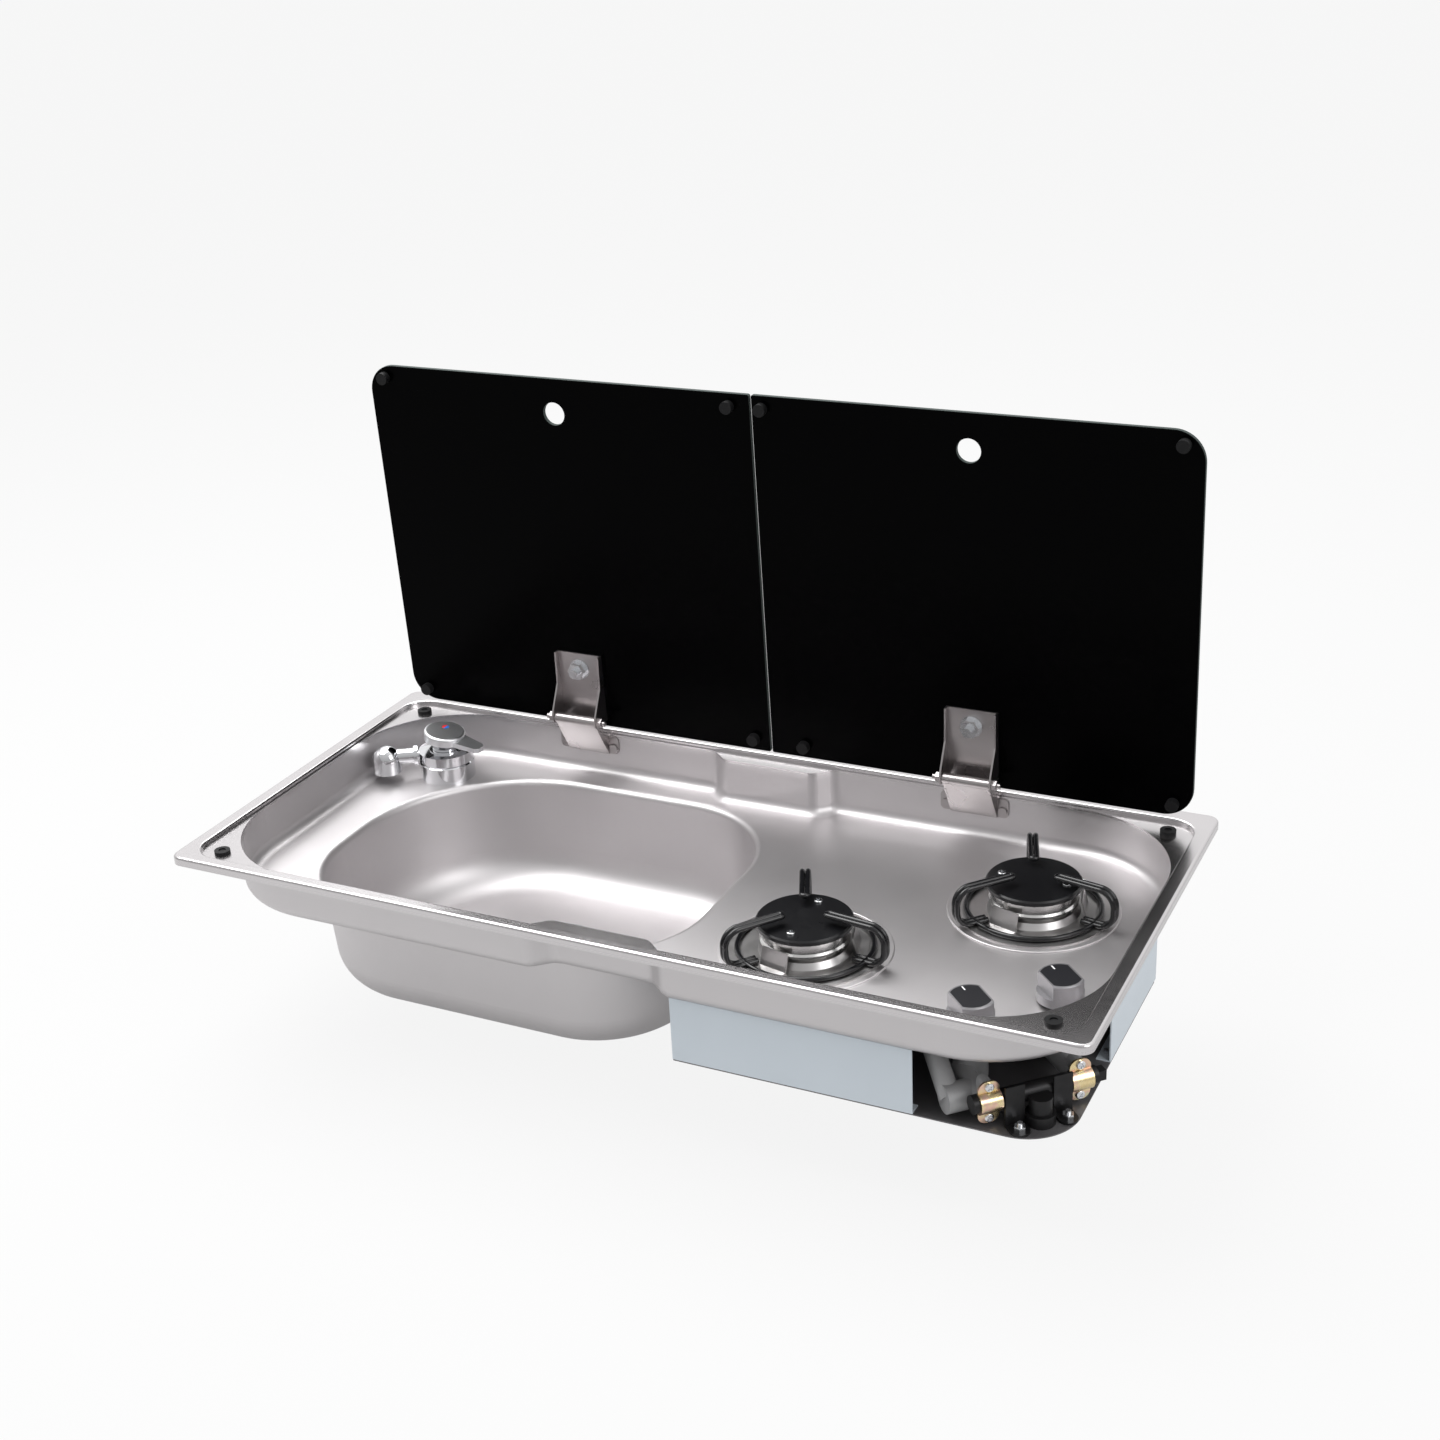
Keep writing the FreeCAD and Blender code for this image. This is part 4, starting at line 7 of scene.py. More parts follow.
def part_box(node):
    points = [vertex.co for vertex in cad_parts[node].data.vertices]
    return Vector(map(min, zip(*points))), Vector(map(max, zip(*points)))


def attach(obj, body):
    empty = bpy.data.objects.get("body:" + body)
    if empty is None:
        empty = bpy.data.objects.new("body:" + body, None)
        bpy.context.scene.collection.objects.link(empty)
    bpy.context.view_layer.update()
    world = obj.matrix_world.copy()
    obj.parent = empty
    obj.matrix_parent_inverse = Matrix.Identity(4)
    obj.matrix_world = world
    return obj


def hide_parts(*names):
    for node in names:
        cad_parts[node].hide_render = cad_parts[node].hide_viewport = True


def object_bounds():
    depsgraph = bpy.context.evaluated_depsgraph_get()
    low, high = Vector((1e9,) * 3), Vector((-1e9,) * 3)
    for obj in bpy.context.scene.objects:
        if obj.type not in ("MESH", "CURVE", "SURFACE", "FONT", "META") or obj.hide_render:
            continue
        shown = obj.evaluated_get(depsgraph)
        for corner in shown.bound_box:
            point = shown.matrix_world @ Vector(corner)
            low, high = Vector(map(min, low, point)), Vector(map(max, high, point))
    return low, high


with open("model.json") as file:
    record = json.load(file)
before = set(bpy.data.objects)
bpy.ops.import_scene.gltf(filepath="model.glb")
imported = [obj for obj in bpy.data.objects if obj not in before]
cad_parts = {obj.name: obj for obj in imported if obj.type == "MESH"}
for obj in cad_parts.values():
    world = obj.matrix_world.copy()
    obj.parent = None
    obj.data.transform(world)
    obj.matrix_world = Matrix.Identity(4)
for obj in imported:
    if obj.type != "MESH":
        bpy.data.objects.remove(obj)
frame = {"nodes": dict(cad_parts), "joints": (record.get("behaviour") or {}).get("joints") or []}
nodes = frame["nodes"]
cad_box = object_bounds()
bpy.ops.object.select_all(action="DESELECT")


# The tray and the bowl: stainless sheet, deep drawn and seam-welded together at the bowl's lip.
# The coil was rolled to a satin skin, so fine grain lines run the length of the sheet, and the
# draw leaves it a little cloudy. The rolled rim is burnished brighter.
class Wire:
    """A value on its way through a finish; sums and products of wires become Math nodes."""

    def __init__(self, finish, socket):
        self.finish = finish
        self.socket = socket

    def math(self, operation, first, second=0.0):
        return self.finish.node("ShaderNodeMath", {"operation": operation}, {0: first, 1: second})

    def __add__(self, other):
        return self.math("ADD", self, other)

    def __radd__(self, other):
        return self.math("ADD", other, self)

    def __sub__(self, other):
        return self.math("SUBTRACT", self, other)

    def __rsub__(self, other):
        return self.math("SUBTRACT", other, self)

    def __mul__(self, other):
        return self.math("MULTIPLY", self, other)

    def __rmul__(self, other):
        return self.math("MULTIPLY", other, self)

    def __abs__(self):
        return self.math("ABSOLUTE", self)


class Bench:
    """A node tree to lay out nodes in, for a finish or for the studio."""

    def __init__(self, tree):
        self.tree = tree

    def plug(self, socket, value):
        if isinstance(value, Wire):
            self.tree.links.new(value.socket, socket)
        else:
            socket.default_value = value

    def node(self, kind, settings=None, sockets=None, output=0):
        """Adds one node: its settings first, then the values or wires of its sockets."""
        made = self.tree.nodes.new(kind)
        for name, value in (settings or {}).items():
            if name == "stops":
                ramp = made.color_ramp
                while len(ramp.elements) < len(value):
                    ramp.elements.new(1.0)
                for stop, (position, colour) in zip(ramp.elements, value):
                    stop.position = position
                    stop.color = colour
            else:
                setattr(made, name, value)
        for key, value in (sockets or {}).items():
            self.plug(made.inputs[key], value)
        return Wire(self, made.outputs[output])

    def remap(self, value, low, high, first, last):
        """A value carried from one range to another and held at the ends."""
        ends = {"From Min": low, "From Max": high, "To Min": first, "To Max": last}
        return self.node("ShaderNodeMapRange", {}, {"Value": value, **ends})


class Finish(Bench):
    """One surface finish: a node material built round a Principled shader."""

    def __init__(self, name, **fixed):
        self.material = bpy.data.materials.new(name)
        self.material.use_nodes = True
        super().__init__(self.material.node_tree)
        self.shader = self.tree.nodes["Principled BSDF"]
        self.set(**fixed)

    def set(self, **sockets):
        """Puts values or wires on the shader's sockets, named in lower case with underscores."""
        for name, value in sockets.items():
            self.plug(self.shader.inputs[name.replace("_", " ").title().replace("Ior", "IOR")], value)

    def place(self, scale=(1.0, 1.0, 1.0)):
        """The surface's own place in metres, stretched for a pattern."""
        coordinates = self.node("ShaderNodeTexCoord", output="Object")
        return self.node("ShaderNodeMapping", {}, {"Vector": coordinates, "Scale": scale})

    def noise(self, scale, detail=3.0, stretch=(1.0, 1.0, 1.0)):
        sockets = {"Vector": self.place(stretch), "Scale": scale, "Detail": detail, "Roughness": 0.55}
        return self.node("ShaderNodeTexNoise", {}, sockets)

    def mix(self, factor, first, second):
        """Two colours mixed by a factor, each given as red, green and blue."""
        ends = {0: factor, 6: (*first, 1.0), 7: (*second, 1.0)}
        return self.node("ShaderNodeMix", {"data_type": "RGBA"}, ends, output=2)

    def bump(self, height, strength, distance):
        sockets = {"Height": height, "Strength": strength, "Distance": distance}
        return self.node("ShaderNodeBump", {}, sockets)


def dress(finish, *names):
    """Puts a finish on CAD nodes by name."""
    for name in names:
        nodes[name].material_slots[0].material = finish.material


RIM_FOOT, RIM_TOP = -0.004, 0.003
satin = Finish("satin_stainless", metallic=1.0)
grain = satin.noise(1.0, 2.0, (14.0, 1100.0, 1100.0))
cloud = satin.noise(9.0, 4.0)
level = satin.node("ShaderNodeSeparateXYZ", {}, {"Vector": satin.place()}, output="Z")
rolled_rim = satin.remap(level, RIM_FOOT, RIM_TOP, 0.0, 1.0)
satin.set(base_color=satin.mix(cloud, (0.58, 0.56, 0.567), (0.66, 0.64, 0.647)),
          roughness=0.39 + grain * 0.06 + cloud * 0.08 - rolled_rim * 0.22,
          normal=satin.bump(grain * (1.0 - rolled_rim), 0.03, 0.0002))
dress(satin, "tray", "sink_bowl")

# The strip of foam round the underside of the rim, cut from roll and stuck on,
# which beds the unit on the worktop.
foam = Finish("closed_cell_foam", specular_ior_level=0.3)
cells = foam.node("ShaderNodeTexVoronoi", {}, {"Vector": foam.place(), "Scale": 900.0})
foam.set(base_color=foam.mix(cells, (0.02, 0.02, 0.021), (0.05, 0.05, 0.052)),
         roughness=0.8 + cells * 0.15,
         normal=foam.bump(cells, 0.4, 0.0005))
dress(foam, "rim_gasket")

# Moulded rubber: the buttons on the ledges, the bumpers on the glass, the plug and the two seals.
# They are pressed into holes or stuck down, and have a dull skin with a little bloom.
rubber = Finish("moulded_rubber", specular_ior_level=0.22)
bloom = rubber.noise(160.0, 4.0)
rubber.set(base_color=rubber.mix(bloom, (0.002, 0.002, 0.0025), (0.007, 0.007, 0.0075)),
           roughness=0.45 + bloom * 0.25,
           normal=rubber.bump(bloom, 0.08, 0.0003))
dress(rubber, "ledge_buttons", "bumpers_left", "bumpers_right", "sink_plug", "tap_seal", "waste_seal")

# The waste: a flanged fitting and a ring nut moulded in grey plastic, clamped through the bowl.
# The cups under the gas knobs are moulded in the same plastic.
moulding = Finish("grey_moulding", specular_ior_level=0.45)
flow = moulding.noise(60.0, 5.0)
moulding.set(base_color=moulding.mix(flow, (0.30, 0.30, 0.31), (0.38, 0.38, 0.39)),
             roughness=0.38 + flow * 0.18,
             normal=moulding.bump(flow, 0.05, 0.0004))
dress(moulding, "waste_fitting", "waste_nut", "spring_cup_front", "spring_cup_rear")

# The tap: brass turned and cast, then polished and chromed, with a swivel spout, a turret that
# turns to mix, and a brushed lever that lifts to open. It is held by a brass nut under the deck
# and fed by two copper tails.
chrome = Finish("bright_chrome", metallic=1.0)
wipe = chrome.noise(45.0, 5.0)
chrome.set(base_color=chrome.mix(wipe, (0.72, 0.725, 0.745), (0.80, 0.805, 0.825)),
           roughness=0.04 + wipe * 0.07)
dress(chrome, "tap_body", "tap_spout", "tap_turret")

lever_chrome = Finish("brushed_chrome", metallic=1.0)
buff = lever_chrome.noise(1.0, 2.0, (60.0, 1500.0, 400.0))
lever_chrome.set(base_color=lever_chrome.mix(buff, (0.76, 0.765, 0.78), (0.83, 0.835, 0.85)),
                 roughness=0.30 + buff * 0.10)
dress(lever_chrome, "tap_lever")

brass = Finish("turned_brass", metallic=1.0)
lathe = brass.noise(1.0, 2.0, (30.0, 30.0, 2500.0))
brass.set(base_color=brass.mix(lathe, (0.62, 0.43, 0.17), (0.74, 0.55, 0.25)),
          roughness=0.22 + lathe * 0.14,
          normal=brass.bump(lathe, 0.08, 0.0002))
dress(brass, "tap_nut", "gas_jets")

copper = Finish("drawn_copper", metallic=1.0)
tarnish = copper.noise(120.0, 5.0, (1.0, 1.0, 0.4))
copper.set(base_color=copper.mix(tarnish, (0.72, 0.33, 0.19), (0.46, 0.21, 0.13)),
           roughness=0.22 + tarnish * 0.22)
dress(copper, "tap_tails")


# The hot and cold mark: a small disc printed in two halves, red and blue, on the lever's cap.
# The ink stands a tenth of a millimetre proud, and its upper edge is rounded.
SMOOTH_BELOW = math.radians(40.0)


def finish_piece(piece, name, finish, body):
    """Brings a new piece to the origin, smooths it, and says what it is made of and rides on."""
    bpy.ops.object.transform_apply(location=True, rotation=True, scale=True)
    bpy.ops.object.shade_smooth_by_angle(angle=SMOOTH_BELOW)
    bpy.ops.object.select_all(action="DESELECT")
    piece.name = name
    piece.data.name = name
    piece.data.materials.append(finish.material)
    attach(piece, body)


def raise_ink(height, rounding):
    """Thickens a flat printed face upwards and rounds its upper edge."""
    bpy.ops.mesh.select_all(action="SELECT")
    bpy.ops.mesh.extrude_region_move(TRANSFORM_OT_translate={"value": (0.0, 0.0, height)})
    bpy.ops.mesh.region_to_loop()
    bpy.ops.mesh.bevel(offset=rounding, segments=2, affect="EDGES")
    bpy.ops.mesh.select_all(action="SELECT")
    bpy.ops.mesh.normals_make_consistent(inside=False)
    bpy.ops.object.mode_set(mode="OBJECT")


def ink(name, low, high):
    """A matt printing ink, a little thin in places."""
    made = Finish(name, specular_ior_level=0.4)
    cover = made.noise(1500.0, 3.0)
    made.set(base_color=made.mix(cover, low, high), roughness=0.42 + cover * 0.2)
    return made


MARK_RADIUS = 0.0032
MARK_INK = 0.00012
MARK_ROUND = 0.00004
CAP_TOP = (0.008, 0.0, 0.0055)
MARK_SHIFT = (-0.0032, 0.0058, -0.00003)
LEVER_TURN, LEVER_DROOP = math.radians(-4.0), math.radians(9.0)
joints = {joint["name"]: joint for joint in frame["joints"]}
cap_seat = (Matrix.Translation(joints["tap_lever_lift"]["pos_m"])
            @ Matrix.Rotation(LEVER_TURN, 4, "Z") @ Matrix.Rotation(LEVER_DROOP, 4, "Y")
            @ Matrix.Translation(CAP_TOP) @ Matrix.Translation(MARK_SHIFT))
hot_ink = ink("red_ink", (0.50, 0.016, 0.020), (0.62, 0.030, 0.034))
cold_ink = ink("blue_ink", (0.012, 0.10, 0.42), (0.022, 0.15, 0.55))
for name, finish, side in (("tap_mark_hot", hot_ink, -1.0), ("tap_mark_cold", cold_ink, 1.0)):
    bpy.ops.mesh.primitive_circle_add(vertices=48, radius=MARK_RADIUS, fill_type="NGON")
    mark = bpy.context.object
    bpy.ops.object.mode_set(mode="EDIT")
    bpy.ops.mesh.select_all(action="SELECT")
    bpy.ops.mesh.bisect(plane_co=(0.0, 0.0, 0.0), plane_no=(side, 0.0, 0.0), clear_inner=True)
    raise_ink(MARK_INK, MARK_ROUND)
    mark.matrix_world = cap_seat
    finish_piece(mark, name, finish, "lever")

# The lids: two panes of toughened glass, cut, drilled and pencil-ground on the edge, then
# enamelled black on the back. The ground edge shows as a thin pale line.
EDGE_STARTS, FACE_STARTS = 0.55, 0.9
glass = Finish("black_toughened_glass", specular_ior_level=0.025)
facing = glass.node("ShaderNodeTexCoord", output="Normal")
across = abs(glass.node("ShaderNodeSeparateXYZ", {}, {"Vector": facing}, output="Y"))
ground_edge = 1.0 - glass.remap(across, EDGE_STARTS, FACE_STARTS, 0.0, 1.0)
dust = glass.noise(70.0, 6.0)
glass.set(base_color=glass.mix(ground_edge, (0.0004, 0.0004, 0.0005), (0.055, 0.066, 0.063)),
          roughness=0.22 + dust * 0.06 + ground_edge * 0.15)
dress(glass, "glass_left", "glass_right")

# The hinges: leaf, barrel and foot pressed from stainless strip, pinned, riveted to the tray's rear
# wall and bolted through the glass.
pressed = Finish("pressed_stainless_strip", metallic=1.0)
rub = pressed.noise(24.0, 2.0)
pressed.set(base_color=pressed.mix(rub, (0.40, 0.375, 0.375), (0.47, 0.445, 0.445)),
            roughness=0.24 + rub * 0.08)
dress(pressed, "hinge_leaf_left", "hinge_leaf_right", "hinge_bases", "hinge_pin_left", "hinge_pin_right",
      "hinge_rivets")

# Bought-in fasteners, pins and tube: cold-headed or drawn steel, bright zinc plated with a faint
# blue cast. They hold the lids and the gas box, and carry the gas to the burners.
zinc = Finish("bright_zinc", metallic=1.0)
bath = zinc.noise(260.0, 4.0)
zinc.set(base_color=zinc.mix(bath, (0.66, 0.67, 0.69), (0.80, 0.81, 0.83)),
         roughness=0.12 + bath * 0.16)
dress(zinc, "lid_bolt_left", "lid_bolt_right", "gas_box_screws", "bracket_nuts", "gas_pipes",
      "knob_stem_front", "knob_stem_rear", "tap_lever_pin")

# The burners: a pressed and chromed dish, a cast base and a turned aluminium head with its ports,
# three sprung clips of chromed strip, and a pressed cap in black enamel.
dish_chrome = Finish("dull_chrome", metallic=1.0)
heat = dish_chrome.noise(55.0, 5.0)
dish_chrome.set(base_color=dish_chrome.mix(heat, (0.52, 0.505, 0.50), (0.66, 0.65, 0.65)),
                roughness=0.26 + heat * 0.16)
dress(dish_chrome, "burner_dishes", "support_clips")

turned = Finish("turned_aluminium", metallic=1.0)
tool_marks = turned.noise(1.0, 2.0, (25.0, 25.0, 2200.0))
scale_spots = turned.noise(80.0, 5.0)
turned.set(base_color=turned.mix(scale_spots, (0.62, 0.61, 0.60), (0.76, 0.755, 0.75)),
           roughness=0.16 + tool_marks * 0.14,
           normal=turned.bump(tool_marks, 0.10, 0.0002))
dress(turned, "burner_heads", "burner_bases")

cap_enamel = Finish("satin_black_enamel", specular_ior_level=0.4)
orange_peel = cap_enamel.noise(420.0, 3.0)
cap_enamel.set(base_color=cap_enamel.mix(orange_peel, (0.004, 0.004, 0.005), (0.009, 0.009, 0.010)),
               roughness=0.24 + orange_peel * 0.12,
               normal=cap_enamel.bump(orange_peel, 0.06, 0.0003))
dress(cap_enamel, "burner_caps")


# The screws through the burner caps: cold-headed steel with a domed head and a cross recess,
# bright zinc plated, two to each burner.
def pick(piece, wanted):
    """Opens a piece for editing with the faces selected whose centres are wanted."""
    bpy.ops.object.mode_set(mode="EDIT")
    bpy.ops.mesh.select_mode(type="FACE")
    bpy.ops.mesh.select_all(action="DESELECT")
    bpy.ops.object.mode_set(mode="OBJECT")
    for face in piece.data.polygons:
        face.select = wanted(face.center)
    bpy.ops.object.mode_set(mode="EDIT")


DOME = 0.55
SLOT_LENGTH, SLOT_WIDTH, SLOT_DEPTH = 1.15, 0.26, 0.9
NEAR_FACE = 0.01


def cross_head_screw(head_radius, head_height, shank_radius, shank_length):
    """One screw, upright at the origin, with the underside of its head at height zero."""
    bpy.ops.mesh.primitive_cylinder_add(vertices=40, radius=head_radius, depth=head_height,
                                        location=(0.0, 0.0, head_height / 2.0))
    screw = bpy.context.object
    bpy.ops.object.transform_apply(location=True, rotation=True, scale=True)
    pick(screw, lambda centre: centre.z > head_height * (1.0 - NEAR_FACE))
    bpy.ops.mesh.region_to_loop()
    bpy.ops.mesh.bevel(offset=head_height * DOME, segments=5, affect="EDGES")
    pick(screw, lambda centre: centre.z < head_height * NEAR_FACE)
    bpy.ops.mesh.inset(thickness=head_radius - shank_radius)
    bpy.ops.mesh.extrude_region_move(TRANSFORM_OT_translate={"value": (0.0, 0.0, -shank_length)})
    bpy.ops.object.mode_set(mode="OBJECT")
    for turn in (0.0, math.pi / 2.0):
        bpy.ops.mesh.primitive_cube_add(size=1.0, location=(0.0, 0.0, head_height),
                                        rotation=(0.0, 0.0, turn))
        cutter = bpy.context.object
        cutter.scale = (head_radius * SLOT_LENGTH, head_radius * SLOT_WIDTH, head_height * SLOT_DEPTH)
        bpy.ops.object.select_all(action="DESELECT")
        bpy.context.view_layer.objects.active = screw
        recess = screw.modifiers.new("recess", "BOOLEAN")
        recess.operation = "DIFFERENCE"
        recess.object = cutter
        bpy.ops.object.modifier_apply(modifier="recess")
        bpy.data.objects.remove(cutter)
    return screw


def set_of_screws(pattern, seats, name, finish, node):
    """Copies a screw on to its seats, joins the copies, and lets them stand for a CAD node."""
    copies = []
    for seat in seats:
        copy = bpy.data.objects.new(name, pattern.data.copy())
        bpy.context.scene.collection.objects.link(copy)
        copy.matrix_world = seat
        copies.append(copy)
    bpy.data.objects.remove(pattern)
    bpy.ops.object.select_all(action="DESELECT")
    for copy in copies:
        copy.select_set(True)
    bpy.context.view_layer.objects.active = copies[0]
    bpy.ops.object.join()
    finish_piece(copies[0], name, finish, "unit")
    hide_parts(node)


FRONT_BURNER, REAR_BURNER = Vector((0.127, -0.062, 0.0)), Vector((0.271, 0.058, 0.0))
CAP_SCREW_OUT = 0.0265
CAP_SCREW_TURNS = (0.5, 1.2)
cap_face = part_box("burner_caps")[1].z
seats = []
for burner, along in ((FRONT_BURNER, Vector((0.0, 1.0, 0.0))), (REAR_BURNER, Vector((1.0, 0.0, 0.0)))):
    for side, turn in zip((-1.0, 1.0), CAP_SCREW_TURNS):
        spot = burner + along * side * CAP_SCREW_OUT + Vector((0.0, 0.0, cap_face))
        seats.append(Matrix.Translation(spot) @ Matrix.Rotation(turn, 4, "Z"))
cap_screw = cross_head_screw(head_radius=0.0034, head_height=0.0016,
                             shank_radius=0.002, shank_length=0.009)
set_of_screws(cap_screw, seats, "cap_screw_set", zinc, "cap_screws")

# The pan supports: round steel wire bent to three double fingers, welded to a ring and dipped in
# gloss black enamel. They drop over the burners and lift off for cleaning.
wire_enamel = Finish("gloss_black_enamel", specular_ior_level=0.5)
runs = wire_enamel.noise(180.0, 3.0)
wire_enamel.set(base_color=wire_enamel.mix(runs, (0.005, 0.005, 0.006), (0.010, 0.010, 0.011)),
                roughness=0.12 + runs * 0.12,
                normal=wire_enamel.bump(runs, 0.08, 0.0004))
dress(wire_enamel, "pan_support_front", "pan_support_rear")

# The gas box: sheet steel panels folded and screwed under the hob, coated pale blue-grey, on a plain
# grey floor plate.
panel = Finish("pale_coated_panel", specular_ior_level=0.4)
roller = panel.noise(500.0, 3.0)
shade = panel.noise(12.0, 3.0)
panel.set(base_color=panel.mix(shade, (0.575, 0.635, 0.69), (0.63, 0.69, 0.745)),
          roughness=0.34 + roller * 0.16,
          normal=panel.bump(roller, 0.05, 0.0002))
dress(panel, "gas_box_front", "gas_box_right", "gas_box_left", "gas_box_rear")

floor_plate = Finish("grey_mill_plate", metallic=0.6)
mill = floor_plate.noise(55.0, 6.0)
floor_plate.set(base_color=floor_plate.mix(mill, (0.13, 0.125, 0.13), (0.20, 0.195, 0.20)),
                roughness=0.38 + mill * 0.2)
dress(floor_plate, "gas_box_floor")

# The gas taps and the rail between them: two zinc die castings, and a drawn steel tube blacked in
# oil, held to them by yellow-passivated saddle clamps and to the floor plate by a black bracket.
casting = Finish("zinc_die_casting", metallic=0.45)
skin = casting.noise(380.0, 6.0)
stain = casting.noise(40.0, 4.0)
casting.set(base_color=casting.mix(stain, (0.26, 0.26, 0.265), (0.42, 0.42, 0.425)),
            roughness=0.48 + skin * 0.2,
            normal=casting.bump(skin, 0.3, 0.0006))
dress(casting, "gas_valves")

passivate = Finish("yellow_passivate", metallic=1.0)
film = passivate.noise(75.0, 3.0)
tint = passivate.node("ShaderNodeValToRGB", {"stops": (
    (0.30, (0.78, 0.60, 0.30, 1.0)),
    (0.46, (0.86, 0.72, 0.42, 1.0)),
    (0.56, (0.80, 0.52, 0.42, 1.0)),
    (0.68, (0.62, 0.64, 0.40, 1.0)))}, {"Fac": film})
passivate.set(base_color=tint, roughness=0.20 + film * 0.16)
dress(passivate, "rail_clamps")

blacked = Finish("oil_blacked_steel", metallic=0.6)
oil = blacked.noise(150.0, 4.0)
blacked.set(base_color=blacked.mix(oil, (0.010, 0.010, 0.011), (0.028, 0.027, 0.028)),
            roughness=0.28 + oil * 0.22)
dress(blacked, "gas_rail", "rail_plug", "rail_bracket", "gas_inlet")

# The clamp screws: the same make of screw as on the burner caps, a little longer,
# two to each clamp. Their heads face the corner.
CORNER = math.radians(45.0)
CLAMP_LINES = (-0.045, 0.027)
CLAMP_OUT = 0.0486
CLAMP_LEVELS = (-0.084, -0.059)
CLAMP_SCREW_TURNS = (0.3, 0.9)
TURN_PER_METRE = 20.0
KNOB_MIDDLE = Vector((0.3055, -0.091, 0.0))
along_rail = Vector((math.cos(CORNER), math.sin(CORNER), 0.0))
toward_corner = Vector((math.sin(CORNER), -math.cos(CORNER), 0.0))
facing_corner = toward_corner.to_track_quat("Z", "Y").to_matrix().to_4x4()
seats = []
for line, turn in zip(CLAMP_LINES, CLAMP_SCREW_TURNS):
    for height in CLAMP_LEVELS:
        spot = KNOB_MIDDLE + along_rail * line + toward_corner * CLAMP_OUT + Vector((0.0, 0.0, height))
        driven = Matrix.Rotation(turn + height * TURN_PER_METRE, 4, "Z")
        seats.append(Matrix.Translation(spot) @ facing_corner @ driven)
clamp_screw = cross_head_screw(head_radius=0.0036, head_height=0.002,
                               shank_radius=0.0024, shank_length=0.007)
set_of_screws(clamp_screw, seats, "clamp_screw_set", zinc, "clamp_screws")

# The knobs: moulded in silver-grey plastic with a dark inlay let into the top, pushed on to the
# stems of the gas taps. A white pointer line is printed at one end of each inlay, and a small, thin
# raised black triangle sits on the deck at the front left of each knob.
silver = Finish("silver_moulding", metallic=0.7)
flake = silver.noise(1400.0, 2.0)
silver.set(base_color=silver.mix(flake, (0.24, 0.235, 0.245), (0.33, 0.325, 0.335)),
           roughness=0.34 + flake * 0.12,
           normal=silver.bump(flake, 0.05, 0.0001))
dress(silver, "knob_front", "knob_rear")

inlay = Finish("dark_inlay", specular_ior_level=0.35)
spark = inlay.noise(900.0, 3.0)
inlay.set(base_color=inlay.mix(spark, (0.004, 0.004, 0.006), (0.012, 0.012, 0.015)),
          roughness=0.36 + spark * 0.14,
          normal=inlay.bump(spark, 0.06, 0.0002))
dress(inlay, "knob_inlay_front", "knob_inlay_rear")

POINTER_SIZE = (0.0052, 0.0011, 0.00024)
POINTER_OUT = 0.0119
POINTER_ROUND = 0.00005
DECK_TRIANGLE_RADIUS = 0.0038
DECK_TRIANGLE_SHIFT = Vector((-0.0068, -0.0250, 0.0))
white_ink = ink("white_ink", (0.62, 0.62, 0.63), (0.80, 0.80, 0.81))
black_ink = ink("black_ink", (0.006, 0.006, 0.007), (0.014, 0.014, 0.015))
deck_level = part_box("burner_dishes")[0].z
pointer_line = Vector((-math.cos(CORNER), math.sin(CORNER), 0.0))
for where in ("front", "rear"):
    low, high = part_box(f"knob_inlay_{where}")
    middle = (low + high) / 2.0
    bpy.ops.mesh.primitive_cube_add(size=1.0)
    pointer = bpy.context.object
    pointer.scale = POINTER_SIZE
    bpy.ops.object.transform_apply(location=True, rotation=True, scale=True)
    pick(pointer, lambda centre: centre.z > POINTER_SIZE[2] / 4.0)
    bpy.ops.mesh.region_to_loop()
    bpy.ops.mesh.bevel(offset=POINTER_ROUND, segments=2, affect="EDGES")
    bpy.ops.object.mode_set(mode="OBJECT")
    pointer.location = Vector((middle.x, middle.y, high.z)) + pointer_line * POINTER_OUT
    pointer.rotation_euler.z = -CORNER
    finish_piece(pointer, f"knob_pointer_{where}", white_ink, f"knob_{where}_turner")
    # A small flat black triangle, a tenth of a millimetre proud of the deck, in front of and to the left
    # of the knob.
    bpy.ops.mesh.primitive_circle_add(vertices=3, radius=DECK_TRIANGLE_RADIUS, fill_type="NGON")
    triangle = bpy.context.object
    bpy.ops.object.mode_set(mode="EDIT")
    raise_ink(MARK_INK, MARK_ROUND)
    triangle.location = Vector((middle.x, middle.y, deck_level - MARK_ROUND)) + DECK_TRIANGLE_SHIFT
    triangle.rotation_euler.z = -math.atan2(DECK_TRIANGLE_SHIFT.x, DECK_TRIANGLE_SHIFT.y) - math.pi
    finish_piece(triangle, f"deck_triangle_{where}", black_ink, "unit")

# The studio: a pale floor under the unit, a large soft lamp above and to the left and a weaker one
# to the right. The sweep behind is white, and the room is brighter overhead and dimmer behind the
# camera, which shows only in what is polished.
FLOOR_SPAN = 60.0
FLOOR_WHITE_SEEN, FLOOR_WHITE_MIRRORED = 0.88, 0.30
SKY_ON_DULL_SURFACES = 0.75
OVERHEAD = (0.35, 0.70, 1.0, 1.25)
BEHIND_CAMERA = (-0.5, 0.35, 0.5, 1.0)
scene = bpy.context.scene
scene.view_settings.view_transform = "Standard"

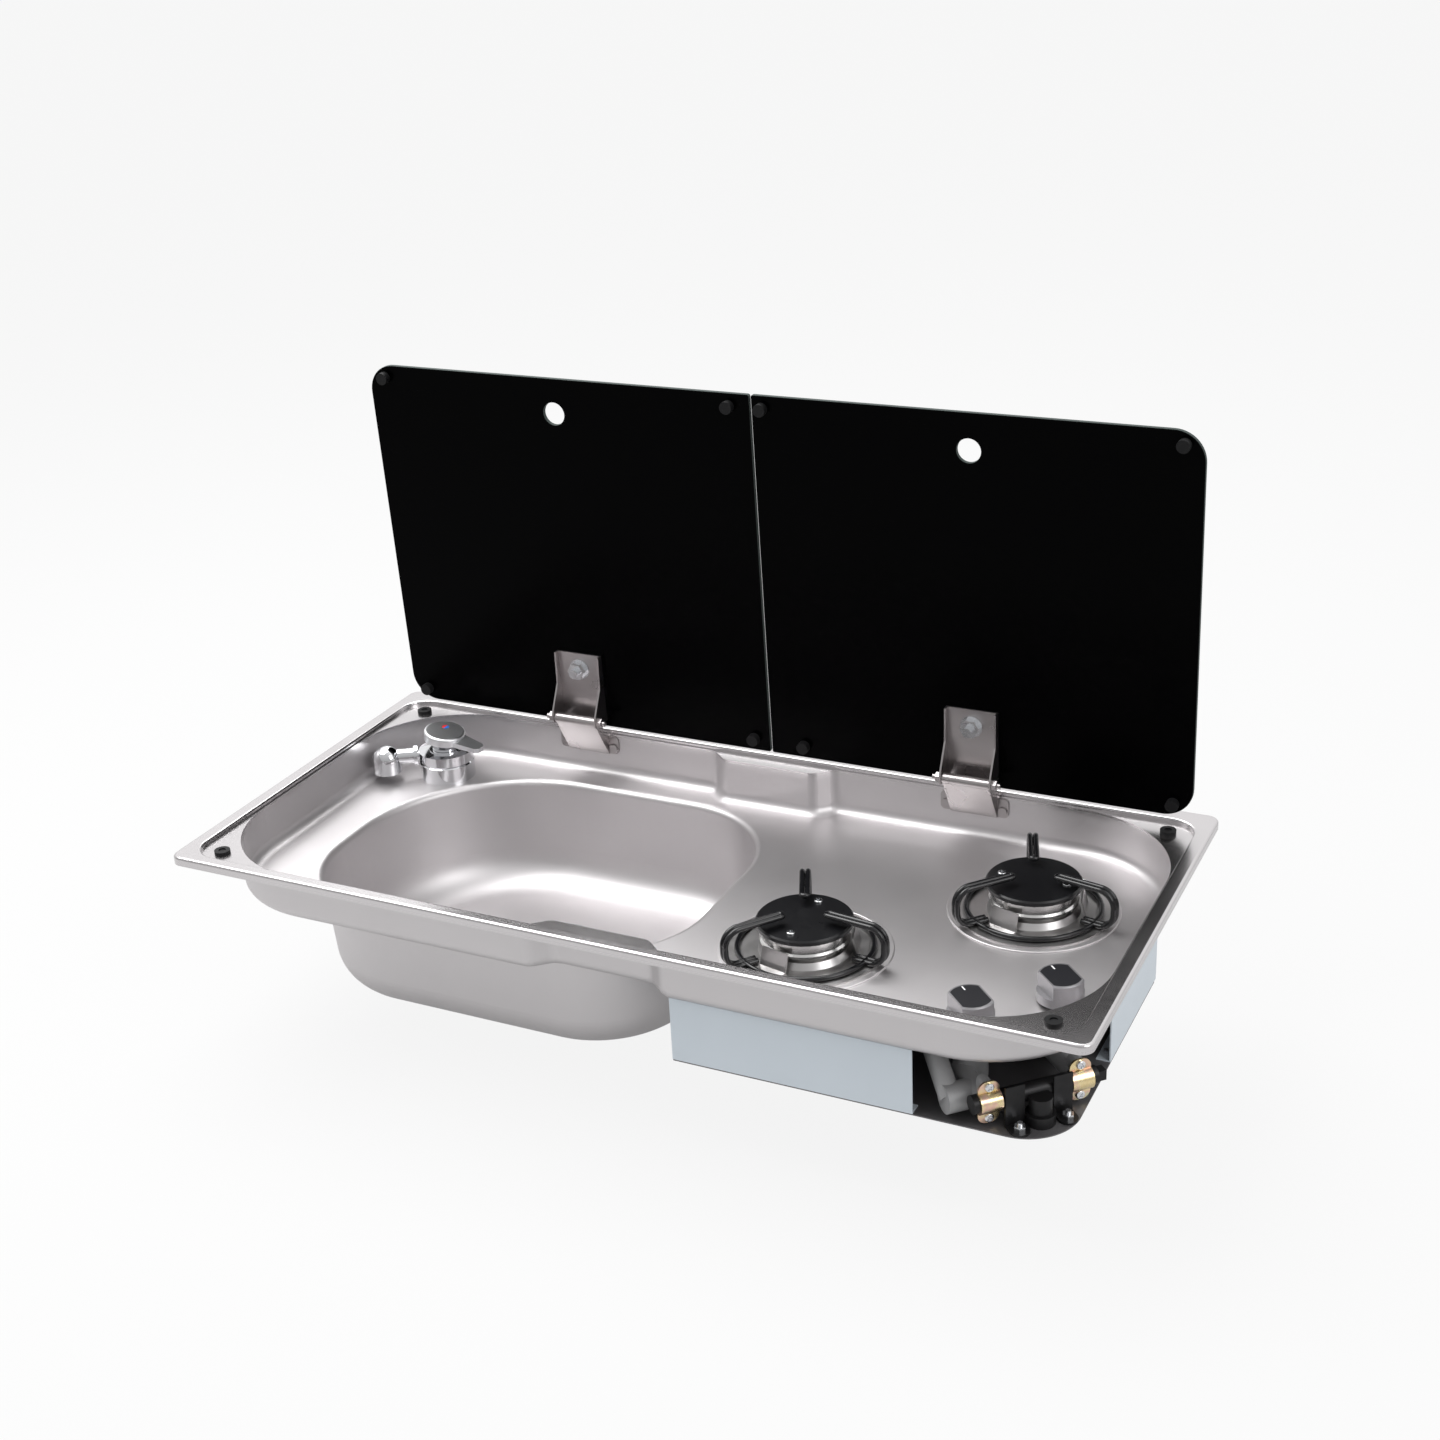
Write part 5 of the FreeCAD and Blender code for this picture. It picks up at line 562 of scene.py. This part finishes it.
bpy.ops.mesh.primitive_plane_add(size=FLOOR_SPAN, location=(0.0, 0.0, cad_box[0].z))
floor = bpy.context.object
floor.name = "studio_floor"
sweep = Finish("studio_floor_white", base_color=(0.45, 0.45, 0.45, 1.0), roughness=0.9)
seen = sweep.node("ShaderNodeLightPath", output="Is Camera Ray")
mirrored = sweep.node("ShaderNodeLightPath", output="Is Glossy Ray")
through = sweep.node("ShaderNodeLightPath", output="Is Transmission Ray")
glow = sweep.node("ShaderNodeEmission", {}, {"Color": (1.0, 1.0, 1.0, 1.0), "Strength": 1.0})
share = seen * FLOOR_WHITE_SEEN + (mirrored + through) * FLOOR_WHITE_MIRRORED
matt = Wire(sweep, sweep.shader.outputs[0])
blend = sweep.node("ShaderNodeMixShader", {}, {"Fac": share, 1: matt, 2: glow})
sweep.plug(sweep.tree.nodes["Material Output"].inputs["Surface"], blend)
floor.data.materials.append(sweep.material)

world = bpy.data.worlds.new("studio_sweep")
scene.world = world
world.use_nodes = True
room = Bench(world.node_tree)
direction = room.node("ShaderNodeTexCoord", output="Generated")
behind = room.node("ShaderNodeSeparateXYZ", {}, {"Vector": direction}, output="Y")
height = room.node("ShaderNodeSeparateXYZ", {}, {"Vector": direction}, output="Z")
seen = room.node("ShaderNodeLightPath", output="Is Camera Ray")
mirrored = room.node("ShaderNodeLightPath", output="Is Glossy Ray")
sky = room.remap(height, *OVERHEAD) * room.remap(behind, *BEHIND_CAMERA)
strength = seen + mirrored * sky + (1.0 - seen - mirrored) * SKY_ON_DULL_SURFACES
background = world.node_tree.nodes["Background"]
room.plug(background.inputs["Color"], (1.0, 1.0, 1.0, 1.0))
room.plug(background.inputs["Strength"], strength)


def lamp(name, place, aim, width, depth, power):
    """A soft box: a rectangular area lamp turned towards a point on the unit."""
    data = bpy.data.lights.new(name, "AREA")
    data.shape = "RECTANGLE"
    data.size = width
    data.size_y = depth
    data.energy = power
    made = bpy.data.objects.new(name, data)
    made.location = place
    made.rotation_euler = (Vector(aim) - Vector(place)).to_track_quat("-Z", "Y").to_euler()
    scene.collection.objects.link(made)


lamp("soft_box_left", place=(-0.75, 0.2, 1.6), aim=(-0.1, 0.0, 0.0), width=2.2, depth=1.4, power=54.0)
lamp("soft_box_right", place=(1.9, -0.6, 1.3), aim=(0.1, 0.0, 0.0), width=0.9, depth=1.4, power=14.0)

# The camera stands where the photograph was taken from, to the right of the unit's front and above
# it, and leans a little to one side, as the photograph does.
CAMERA_PLACE = (0.7061, -1.3314, 0.7787)
LENS, SENSOR = 52.01, 36.0
AZIMUTH, ELEVATION, ROLL = (math.radians(a) for a in (26.87, 23.95, -2.91))
back = Vector((math.sin(AZIMUTH) * math.cos(ELEVATION), -math.cos(AZIMUTH) * math.cos(ELEVATION),
               math.sin(ELEVATION)))
level_right = Vector((math.cos(AZIMUTH), math.sin(AZIMUTH), 0.0))
level_up = back.cross(level_right)
right = math.cos(ROLL) * level_right + math.sin(ROLL) * level_up
up = -math.sin(ROLL) * level_right + math.cos(ROLL) * level_up
view = bpy.data.objects.new("camera", bpy.data.cameras.new("camera"))
view.data.lens = LENS
view.data.sensor_width = SENSOR
view.data.clip_start = 0.01
turned_to_unit = Matrix((right, up, back)).transposed().to_4x4()
view.matrix_world = Matrix.Translation(CAMERA_PLACE) @ turned_to_unit
scene.collection.objects.link(view)
scene.camera = view
